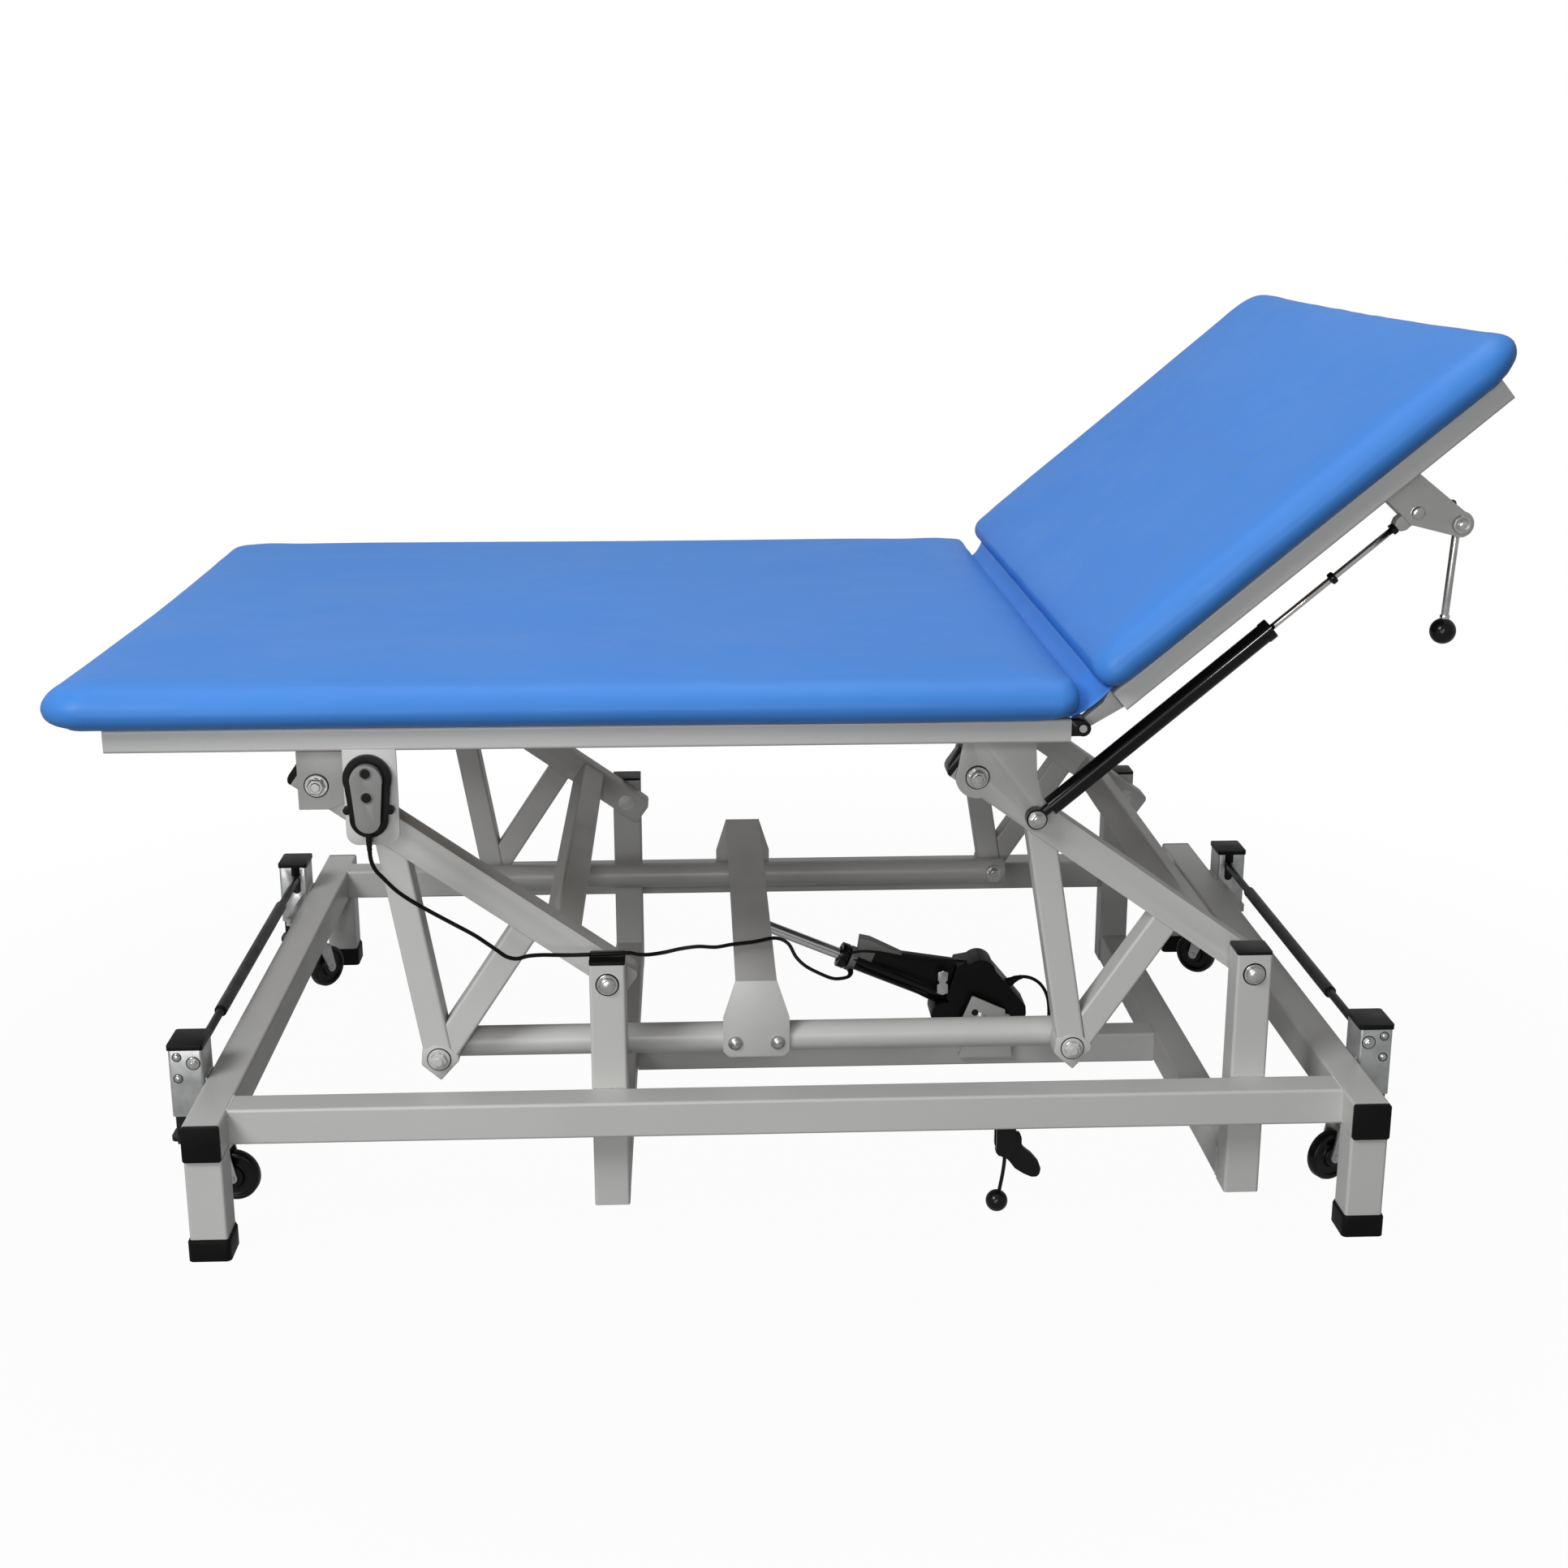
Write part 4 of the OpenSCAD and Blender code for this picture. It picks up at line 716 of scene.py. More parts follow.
    def build(self, paint: Paint) -> Obj:
        """Builds the pad.

        Args:
            paint: The materials.

        Returns:
            The pad.
        """
        rings = self._rings()
        flat = [point for ring in rings for point in ring]
        body = mesh_object(self.name, [self.where(*point) for point in flat], ring_faces(len(rings), len(rings[0])))
        recalculated(body, merge=0)
        self._plump(body, range(6 * len(rings[0])))
        body.data.update()
        normals = [v.normal.copy() for v in body.data.vertices]
        for vertex, normal, point in zip(body.data.vertices, normals, flat):
            vertex.co += normal * (self._pull(*point) * MM)
        recalculated(body)
        for face in body.data.polygons:
            face.use_smooth = True
        paint.dress(body, Slot.VINYL, self.body, (self.node,))
        return body


PADS = (
    Pad("main_pad_vinyl", "main_pad", "bed", -943, 363, lambda x, y, z: place(x, y, PAD_BOTTOM + z), far_in=9.0),
    Pad("back_pad_vinyl", "back_pad", "back", -703, -50, lambda x, y, z: on_back(-x, y, BACK_LIFT + z), seed=11.0),
)


@dataclass
class Flap:
    """The strip of vinyl that closes the gap at the hinge."""

    nose: float = 34.0
    thick: float = 56.0
    width: float = 1150.0
    main_end: float = 363.0
    back_start: float = 50.0
    level: Spot = (8.0, 10.0)
    dropped: Spot = (-62.0, -46.0)
    sunk: float = 4.0
    rows: int = 9
    columns: int = 90

    def _ends(self, y: float) -> tuple[Vector, Vector, Vector]:
        """Where the strip meets the two pads, and its sag between them.

        Args:
            y: Distance behind the middle.

        Returns:
            Its seat on the main pad, its seat on the back pad and the point that pulls it down, along and up.
        """
        half = self.thick / 2
        share = min(max((abs(y) - 500.0) / 70.0, 0.0), 1.0)
        share = share * share * (3 - 2 * share)
        near, far = (math.radians(a + (b - a) * share) for a, b in zip(self.level, self.dropped))
        wide, tall = self.nose - self.sunk, half - self.sunk
        a = Vector((self.main_end - self.nose + wide * math.cos(near), PAD_BOTTOM + half + tall * math.sin(near)))
        b = Vector(turned(self.back_start + self.nose - wide * math.cos(far), BACK_LIFT + half + tall * math.sin(far),
                          BACK_ANGLE, HINGE))
        return a, b, (a + b) / 2 - Vector((-2, 9 + 5 * share))

    @staticmethod
    def _bow(a: Vector, b: Vector, c: Vector, t: float) -> Vector:
        """The point at a share of the bow from a to b that c pulls down."""
        return (1 - t) ** 2 * a + 2 * t * (1 - t) * c + t * t * b

    def build(self, paint: Paint) -> Obj:
        """Builds the strip.

        Args:
            paint: The materials.

        Returns:
            The strip.
        """
        rows, columns = self.rows, self.columns
        upper: list[Vector] = []
        lower: list[Vector] = []
        for i in range(columns + 1):
            y = -self.width / 2 + self.width * i / columns
            ripple = 1.2 * noise.noise(Vector((y * 0.012, 4.0, 1.0)))
            near, far, low = self._ends(y)
            for j in range(rows):
                q = self._bow(near, far, low + Vector((0, ripple)), j / (rows - 1))
                upper.append(place(q.x, y, q.y))
                lower.append(place(q.x + 0.7, y, q.y - 1.3))
        count = len(upper)
        faces = [(i * rows + j, i * rows + j + 1, (i + 1) * rows + j + 1, (i + 1) * rows + j)
                 for i in range(columns) for j in range(rows - 1)]
        faces += [tuple(count + k for k in reversed(f)) for f in faces]
        rim = (list(range(rows)) + [i * rows + rows - 1 for i in range(1, columns + 1)]
               + [columns * rows + j for j in range(rows - 2, -1, -1)] + [i * rows for i in range(columns - 1, 0, -1)])
        faces += [(rim[k], rim[k - 1], count + rim[k - 1], count + rim[k]) for k in range(len(rim))]
        strip = recalculated(mesh_object("hinge_flap_strip", upper + lower, faces))
        paint.dress(strip, Slot.VINYL, replaced=("hinge_flap",))
        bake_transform(strip)
        return strip


# Cords


@dataclass
class CordRun:
    """One stretch of a cord, along the route that the part's source gives."""

    name: str
    node: str
    bodies: tuple[str, str]
    route: tuple[Point, ...]
    radius: float = 2.7

    def build(self, paint: Paint) -> Obj:
        """Builds the stretch.

        Args:
            paint: The materials.

        Returns:
            The stretch.
        """
        line = smooth_line([place(*p) for p in self.route], 5)
        run = recalculated(mesh_object(self.name, *swept(line, self.radius * MM, 14)))
        paint.dress(run, Slot.CORD, replaced=(self.node,))
        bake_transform(run)
        return run


CORDS = (
    CordRun("handset_cord_first", "handset_cord_bed", ("bed", "crank_left"), (
        (-530, -580, 573), (-530, -580, 560), (-529, -576, 545), (-525, -571, 532), (-517, -566, 520),
        (-503, -556, 500), (-486, -545, 482), (-463, -532, 462), (-438, -520, 442))),
    CordRun("handset_cord_second", "handset_cord_crank", ("crank_left", "base"), (
        (-438, -520, 442), (-413, -508, 422), (-398, -501, 408), (-385, -494, 395), (-374, -488, 384),
        (-361, -481, 378), (-346, -474, 379), (-328, -468, 378), (-308, -464, 376), (-286, -462, 375),
        (-264, -461, 375))),
    CordRun("handset_cord_third", "handset_cord_base", ("base", "actuator"), (
        (-264, -461, 375), (-242, -460, 375), (-214, -457, 375), (-201, -447, 369), (-187, -432, 363),
        (-166, -410, 358), (-146, -370, 348), (-121, -320, 333), (-96, -285, 319), (-72, -258, 313),
        (-39, -245, 312), (-9, -231, 312), (11, -205, 294), (24, -175, 262), (40, -145, 236), (62, -115, 213),
        (84, -88, 194), (100, -68, 186), (112, -52, 183), (116, -41, 184), (116, -30, 184))),
    CordRun("motor_lead_loop", "motor_lead", ("actuator", "base"), (
        (374.3, 0, 151.2), (381, 0, 155), (391, 0, 158), (401, 0, 157), (411, 0, 153), (421, 0, 145), (429, 0, 133),
        (434, 0, 118), (436, 0, 100), (436, 0, 84), (436, 0, 68))),
)


@dataclass
class Relief:
    """A tapered ribbed sleeve where a cord leaves a housing."""

    name: str
    body: str
    line: tuple[Point, ...]
    wide: float = 5.0
    slim: float = 3.0
    ribs: int = 5
    groove: float = 0.45

    def build(self, paint: Paint) -> Obj:
        """Builds the sleeve.

        Args:
            paint: The materials.

        Returns:
            The sleeve.
        """
        line = smooth_line([place(*p) for p in self.line], 6)
        radii = []
        for i in range(len(line)):
            share = i / (len(line) - 1)
            groove = self.groove * (0.5 - 0.5 * math.cos(2 * math.pi * self.ribs * share))
            radii.append((self.wide + (self.slim - self.wide) * share - groove) * MM)
        sleeve = recalculated(mesh_object(self.name, *swept(line, radii, 16)))
        return paint.dress(sleeve, Slot.CORD, self.body)


RELIEFS = (
    Relief("handset_sleeve", "bed", (
        (-529.5, -579.9, 584), (-529.7, -580, 578), (-530, -580, 571), (-530, -579.9, 564), (-529.9, -579, 557))),
    Relief("actuator_sleeve", "actuator", (
        (116.3, -26, 184.1), (116.2, -34, 184), (115.8, -41, 183.9), (114, -47, 183.5), (112, -52, 183))),
    Relief("lead_sleeve", "actuator", (
        (362, 0, 144.5), (368, 0, 148), (374, 0, 151), (381, 0, 155), (391, 0, 158)), 10.5, 3.4, 4),
)


# Hard pieces


@dataclass
class Eased:
    """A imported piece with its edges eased, as pressing, moulding and paint leave them."""

    node: str
    body: str
    slot: Slot
    width: float
    segments: int = 2
    angle: float = 35.0

    def build(self, paint: Paint) -> Obj:
        """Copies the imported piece, joins its flat triangles and rounds its edges.

        Args:
            paint: The materials.

        Returns:
            The piece.
        """
        made = bpy.data.objects.new(f"{self.node}_eased", frame["nodes"][self.node].data.copy())
        bpy.context.collection.objects.link(made)
        bevelled(recalculated(made, 1e-5, 0.6), self.width, self.segments, self.angle)
        return paint.dress(made, self.slot, self.body, (self.node,))


EASED = (
    Eased("foot_caps", "base", Slot.RUBBER, 2.2, 3),
    Eased("tube_caps", "base", Slot.CAP, 1.2),
    Eased("castor_housings", "base", Slot.ZINC, 0.9),
    Eased("actuator_bracket", "base", Slot.FRAME, 0.9),
    Eased("crank_arms_left", "crank_left", Slot.FRAME, 2.2, 3),
    Eased("crank_arms_right", "crank_right", Slot.FRAME, 2.2, 3),
    Eased("bridge", "link", Slot.FRAME, 1.1),
    Eased("pivot_bracket_right", "bed", Slot.FRAME, 0.9),
    Eased("hanger_plate", "bed", Slot.FRAME, 0.8),
    Eased("hinge_barrels", "bed", Slot.DARK, 1.2),
    Eased("handset_cradle", "bed", Slot.CAP, 3.4, 4),
    Eased("handset_body", "bed", Slot.HANDSET, 2.4, 3),
    Eased("gas_bracket", "back", Slot.FRAME, 0.9),
    Eased("actuator_motor", "actuator", Slot.CAP, 6.0, 4),
    Eased("actuator_tube", "actuator", Slot.DARK, 0.7),
    Eased("actuator_cover", "actuator", Slot.HANDSET, 1.5),
    *(Eased(wheel, wheel, Slot.TYRE, 2.4, 3) for wheel in (
        "castor_wheel_fl", "castor_wheel_rl", "castor_wheel_fr", "castor_wheel_rr")),
)


@dataclass
class Piece:
    """A rigid piece from shells, with its edges eased."""

    name: str
    body: str
    slot: Slot
    shells: Sequence[Shell]
    width: float = 0.0
    replaced: tuple[str, ...] = ()
    segments: int = 2
    angle: float = 35.0

    def build(self, paint: Paint) -> Obj:
        """Builds the piece.

        Args:
            paint: The materials.

        Returns:
            The piece.
        """
        points: list[Vector] = []
        faces: list[tuple[int, ...]] = []
        for own_points, own_faces in self.shells:
            faces += [tuple(len(points) + i for i in face) for face in own_faces]
            points += own_points
        made = recalculated(mesh_object(self.name, points, faces))
        if self.width:
            bevelled(made, self.width, self.segments, self.angle)
        return paint.dress(made, self.slot, self.body, self.replaced)


@dataclass
class ReleaseLever:
    """The lever at the end of the back: hub, bare rod, ball knob and the valve's black pin."""

    hub: Spot = (862.2, 943.6)
    ball: Spot = (854.8, 802.2)
    ball_r: float = 17.0
    rod_r: float = 5.0
    drum: Outline = ((THIN, 14.1), (11.9, 14.1), (12.3, 15.0), (12.3, 20.6), (11.2, 21.8), (7.6, 21.8), (7.2, 20.6),
                     (THIN, 20.6))
    disc: Outline = ((THIN, 20.2), (5.6, 20.2), (5.2, 21.9), (3.6, 23.0), (THIN, 23.5))
    pin: Outline = ((837, 966), (845, 964.5), (852, 961), (857.5, 953))
    pin_ball: Spot = (853.4, 968.2)
    pin_r: float = 3.4

    def _rod(self) -> list[Shell]:
        """The hub between the ears, its drum in front and the rod.

        Returns:
            The shells.
        """
        x, z = self.hub
        ends = [place(x + (self.ball[0] - x) * share, GAS_Y, z + (self.ball[1] - z) * share) for share in (0.06, 0.9)]
        return [facing_front(x, GAS_Y, z, drum_profile(11.0, -9.6, 9.6)), facing_front(x, GAS_Y, z, self.drum),
                swept(ends, self.rod_r * MM, 24)]

    def _disc(self) -> list[Shell]:
        """The bright end of the shaft in the drum, and the small nut over the ball.

        Returns:
            The shells.
        """
        over = place(self.ball[0] + 1.0, GAS_Y, self.ball[1] + self.ball_r - 0.8)
        return [facing_front(self.hub[0], GAS_Y, self.hub[1], self.disc),
                spun(drum_profile(6.4, 0.0, 5.0), over, Vector((0.05, 0.0, 1.0)), 6)]

    def pieces(self) -> list[Piece]:
        """The lever, with the pin that stands behind its drum.

        Returns:
            The pieces.
        """
        ball = facing_front(self.ball[0], GAS_Y, self.ball[1], ball_profile(self.ball_r, 22), 44)
        line = smooth_line([place(x, GAS_Y, z) for x, z in self.pin], 5)
        tip = facing_front(self.pin_ball[0], GAS_Y, self.pin_ball[1], ball_profile(5.6), 24)
        return [
            Piece("lever_rod", "release_lever", Slot.BOLT, self._rod(), 0.5, ("release_lever",)),
            Piece("lever_disc", "release_lever", Slot.CHROME, self._disc(), 0.3),
            Piece("lever_ball", "release_lever", Slot.DARK, [ball]),
            Piece("valve_pin", "release_lever", Slot.DARK, [swept(line, self.pin_r * MM, 14), tip]),
        ]


@dataclass
class GasRod:
    """The gas spring's bright rod with its grey clevis, lock nut and black stop ring."""

    turn: float = 40.27
    half: float = 9.3
    length: float = 330.0
    clevis: Outline = ((9.4, 7.6), (9.4, -7.6), (3.0, -9.6), (-24.0, -9.6), (-31.0, -6.0), (-31.0, 6.0), (-24.0, 9.6),
                       (3.0, 9.6))
    stop: Outline = ((THIN, 128.3), (6.8, 128.3), (8.2, 129.6), (8.2, 134.8), (6.8, 136.3), (THIN, 136.3))

    def _turned(self, profile: Outline, count: int = 28) -> Shell:
        """A turned shape along the rod, drawn from the top pin downwards.

        Args:
            profile: Radius and distance below the pin of each ring.
            count: Points round the rod.

        Returns:
            Points and faces.
        """
        a = math.radians(self.turn)
        top = place(GAS_TOP[0], GAS_Y, GAS_TOP[1])
        below = place(GAS_TOP[0] - math.cos(a), GAS_Y, GAS_TOP[1] - math.sin(a))
        return spun(profile, top, below - top, count)

    def pieces(self) -> list[Piece]:
        """The rod's pieces.

        Returns:
            The pieces.
        """
        bar = self._turned(drum_profile(4.2, 28.0, self.length))
        clevis = slab(self.clevis, GAS_Y - self.half, GAS_Y + self.half, GAS_TOP, self.turn)
        nut = self._turned(drum_profile(8.0, 31.3, 37.5), 6)
        return [
            Piece("gas_rod_bar", "gas_rod", Slot.CHROME, [bar], replaced=("gas_rod",)),
            Piece("gas_clevis", "gas_rod", Slot.FRAME, [clevis], 1.4, segments=3),
            Piece("gas_rings", "gas_rod", Slot.DARK, [nut, self._turned(self.stop)], 0.4),
        ]


@dataclass
class Pedal:
    """The castor pedal: a hooked plate with a thin bent wire and a ball."""

    pivot: Spot = (291.0, 110.0)
    y: float = -511.0
    outline: Outline = (
        (0, 19), (12, 19.4), (20, 18), (22.5, 12), (22.5, 2), (26, -4), (36, -12), (46, -24), (49.5, -34), (48, -42),
        (44, -46), (37, -46), (26, -41), (14, -33), (6, -22), (0, -16), (-9, -14), (-13, -8), (-12.4, -2), (-8, 3),
        (-4, 9))
    wire: Outline = ((291.6, 101.0), (291.0, 84.0), (289.0, 66.0), (285.4, 44.0))
    ball: Spot = (282.0, 28.0)
    half: float = 6.0
    wire_r: float = 2.6
    ball_r: float = 15.0

    def pieces(self) -> list[Piece]:
        """The plate, and the wire with its ball.

        Returns:
            The pieces.
        """
        plate = slab(self.outline, self.y - self.half, self.y + self.half, self.pivot)
        wire = swept(smooth_line([place(x, self.y, z) for x, z in self.wire], 6), self.wire_r * MM, 16)
        ball = facing_front(self.ball[0], self.y, self.ball[1], ball_profile(self.ball_r, 20), 40)
        return [Piece("pedal_plate", "foot_lever", Slot.DARK, [plate], 1.8, ("foot_lever",), 3, 20.0),
                Piece("pedal_wire", "foot_lever", Slot.DARK, [wire, ball])]


@dataclass
class Housing:
    """What dresses the handset's face and the actuator's housing and tube."""

    buttons: tuple[Point, ...] = ((-529.5, -585.2, 662.0), (-529.5, -585.2, 631.0))
    ring: Outline = ((7.0, 0.0), (7.0, 1.3), (7.6, 1.7), (8.3, 1.3), (8.3, 0.0))
    clip: Outline = ((253, 144), (262, 141), (270, 144), (270, 158), (266, 161), (269, 166), (270, 178), (262, 181),
                     (254, 178), (254, 166), (257, 161), (253, 158))
    loop: Outline = ((290, 172), (296, 181), (306, 187), (318, 187), (327, 180), (331, 170), (331, 158))
    clip_y: Spot = (-30.2, -28.1)
    loop_y: Point = (-14, 0, 14)
    loop_r: float = 4.2
    lead_r: float = 1.9
    leads: tuple[tuple[Point, ...], ...] = (
        ((109, -12, 204), (118, -17, 209), (138, -19, 212), (166, -19, 209), (204, -20, 201), (247, -20, 197),
         (285, -20, 194), (300, -18, 192)),
        ((112, -14, 196), (122, -17.5, 198), (147, -18, 190), (180, -18, 179), (214, -20, 167), (240, -23, 154),
         (254, -22, 146)),
        ((112, -14, 190), (122, -17, 190), (144, -18, 178), (176, -17.5, 164), (208, -18, 150), (234, -20, 136),
         (250, -18, 128)),
    )

    def pieces(self) -> list[Piece]:
        """The rings round the buttons, the clip and the loop on the motor, and the leads on the tube.

        Returns:
            The pieces.
        """
        rings = [facing_front(*button, self.ring, 40) for button in self.buttons]
        arch = smooth_line([place(x, 0, z) for x, z in self.loop], 6)
        loops = [swept([p + Vector((0, dy * MM, 0)) for p in arch], self.loop_r * MM) for dy in self.loop_y]
        leads = [swept(smooth_line([place(*p) for p in lead], 6), self.lead_r * MM) for lead in self.leads]
        return [
            Piece("button_rings", "bed", Slot.HANDSET, rings),
            Piece("motor_clip", "actuator", Slot.BOLT, [slab(self.clip, *self.clip_y)], 0.4),
            Piece("motor_loop", "actuator", Slot.CAP, loops),
            Piece("tube_leads", "actuator", Slot.CORD, leads),
        ]


@dataclass
class Steelwork:
    """Small welded plates, points, lugs and plugs on the base, the cranks, the bed and the back."""

    bracket: Outline = ((306.5, 142), (310, 142), (359.5, 119), (360, 92), (290, 92), (290.5, 103))
    bush: Outline = ((THIN, -0.5), (5.4, -0.5), (5.4, 0.35), (4.6, 0.5), (3.4, 0.1), (THIN, 0.1))
    point: Outline = ((-22.5, 14), (-24.5, -8), (1.5, -31), (27, -3), (27, 4), (14, 16), (-6, 22))
    knuckle: Outline = ((0, -10), (10, -10), (57, -18), (57, 12), (40, 4), (10, 4), (0, 4))
    stiffener: Outline = ((65, -17.5), (67, -23), (87, -27.5), (177, -27.5), (205, -25.5), (212, -17.5))
    lug: Outline = ((-788, 432), (-794.5, 432), (-799, 400), (-806, 262), (-806.5, 240), (-797, 238), (-796, 216),
                    (-788, 216))
    plate: Outline = ((-641, 654), (-560, 654), (-560, 598), (-584, 582), (-603, 575.2), (-641, 575.2))
    plug: Outline = ((28, -21.6), (33, -20.6), (36.2, -16), (37.2, -11), (37.2, 11), (36.2, 16), (33, 20.6),
                     (28, 21.6))
    bracket_y: Spot = (42.2, 39.0)
    bush_at: Point = (311.8, -42.2, 115.6)
    point_y: Spot = (434.15, 393.85)
    plug_y: Spot = (434.6, 393.4)
    plate_y: Spot = (386, 438)
    plate_t: float = 4
    lug_z: Spot = (178.0, 191.4)
    leaf_y: float = 531.5
    stiffener_y: float = 511.0

    def _leaves(self) -> list[Shell]:
        """The knuckle leaves of the back and the slim stiffeners under its side tubes.

        Returns:
            The shells.
        """
        barrel = [turned(10, 0, a, (0.0, 0.0)) for a in range(0, 360, 12)]
        made = []
        for side in (-1, 1):
            for outline, y, half in ((self.knuckle, self.leaf_y, 10.3), (barrel, self.leaf_y, 10.35),
                                     (self.stiffener, self.stiffener_y, 2.0)):
                made.append(slab(outline, side * y - half, side * y + half, HINGE, BACK_ANGLE))
        return made

    def _lugs(self) -> list[Shell]:
        """The stepped lugs outside the end rails, flush with their tops."""
        return [([place(side * x, y, z) for z in self.lug_z for x, y in self.lug], ring_faces(2, len(self.lug)))
                for side in (1, -1)]

    def _points(self, x: float) -> list[Shell]:
        """The pointed lower corners of one crank's two arms."""
        return slabs(self.point, *self.point_y, (x, LOWER_Z))

    def _plugs(self, x: float) -> list[Shell]:
        """The black plugs in the square upper ends of one crank's arms."""
        return slabs(self.plug, *self.plug_y, (x, UPPER_Z), ARM_ANGLE)

    def pieces(self) -> list[Piece]:
        """Every plate, point, lug and plug.

        Returns:
            The pieces.
        """
        plates = [slab(self.plate, side * y, side * (y + self.plate_t)) for side in (-1, 1) for y in self.plate_y]
        return [
            Piece("bracket_face", "base", Slot.FRAME, slabs(self.bracket, *self.bracket_y), 0.8),
            Piece("bracket_bush", "base", Slot.DARK, [facing_front(*self.bush_at, self.bush, 28)]),
            Piece("crank_left_points", "crank_left", Slot.FRAME, self._points(LOWER_PINS[0]), 1.6, segments=3),
            Piece("crank_right_points", "crank_right", Slot.FRAME, self._points(LOWER_PINS[1]), 1.6, segments=3),
            Piece("leaf_pieces", "back", Slot.FRAME, self._leaves(), 0.7, ("hinge_leaves",)),
            Piece("rail_lugs", "base", Slot.FRAME, self._lugs(), 1.0),
            Piece("left_plates", "bed", Slot.FRAME, plates, 0.9, ("pivot_bracket_left",)),
            Piece("arm_plugs_left", "crank_left", Slot.DARK, self._plugs(UPPER_PINS[0]), 0.8),
            Piece("arm_plugs_right", "crank_right", Slot.DARK, self._plugs(UPPER_PINS[1]), 0.8),
        ]


# Bolts and welds


class Head(Enum):
    """The kinds of bolt that can be seen; a ring is a washer shape alone, used for dark rings of painted shade."""

    NUT = "nut"
    DOME = "dome"
    RING = "ring"


@dataclass(frozen=True)
class Fixing:
    """Where one bolt sits, on the face that its washer lies on, and which way it looks."""

    at: Point
    facing: Point = (0.0, -1.0, 0.0)


def _started(name: str, inputs: dict[str, object]) -> Graph:
    """Starts a Geometry Nodes tree with a mesh in and out, and a material among its inputs."""
    return Graph.group(f"{name}_tree", {"Geometry": "Geometry", **inputs, "Material": "Material"},
                       {"Geometry": "Geometry"}, "GeometryNodeTree")


def _placed(g: Graph, inputs: dict[str, Socket]) -> Tree:
    """Ends a tree: instances on points, made real and given the material.

    Args:
        g: The tree.
        inputs: What feeds the instances.

    Returns:
        The tree.
    """
    each = g.node("GeometryNodeInstanceOnPoints", inputs)
    real = g.node("GeometryNodeRealizeInstances", {"Geometry": each.outputs["Instances"]})
    finish = g.node("GeometryNodeSetMaterial", {"Geometry": real.outputs["Geometry"], "Material": g.given("Material")})
    return g.ended({0: finish.outputs["Geometry"]})


def _baked(obj: Obj, tree: Tree, values: dict[str, object], sharp: float) -> Obj:
    """Runs a tree on an object and keeps what it makes as a plain mesh.

    Args:
        obj: The object that carries the points or lines.
        tree: The tree.
        values: The tree's named inputs.
        sharp: Edges sharper than this many degrees stay sharp.

    Returns:
        The same object.
    """
    modifier = obj.modifiers.new(tree.name, "NODES")
    modifier.node_group = tree
    for item in tree.interface.items_tree:
        if item.item_type == "SOCKET" and item.in_out == "INPUT" and item.name in values:
            modifier[item.identifier] = values[item.name]
    return smoothed(apply_modifiers(obj), sharp)


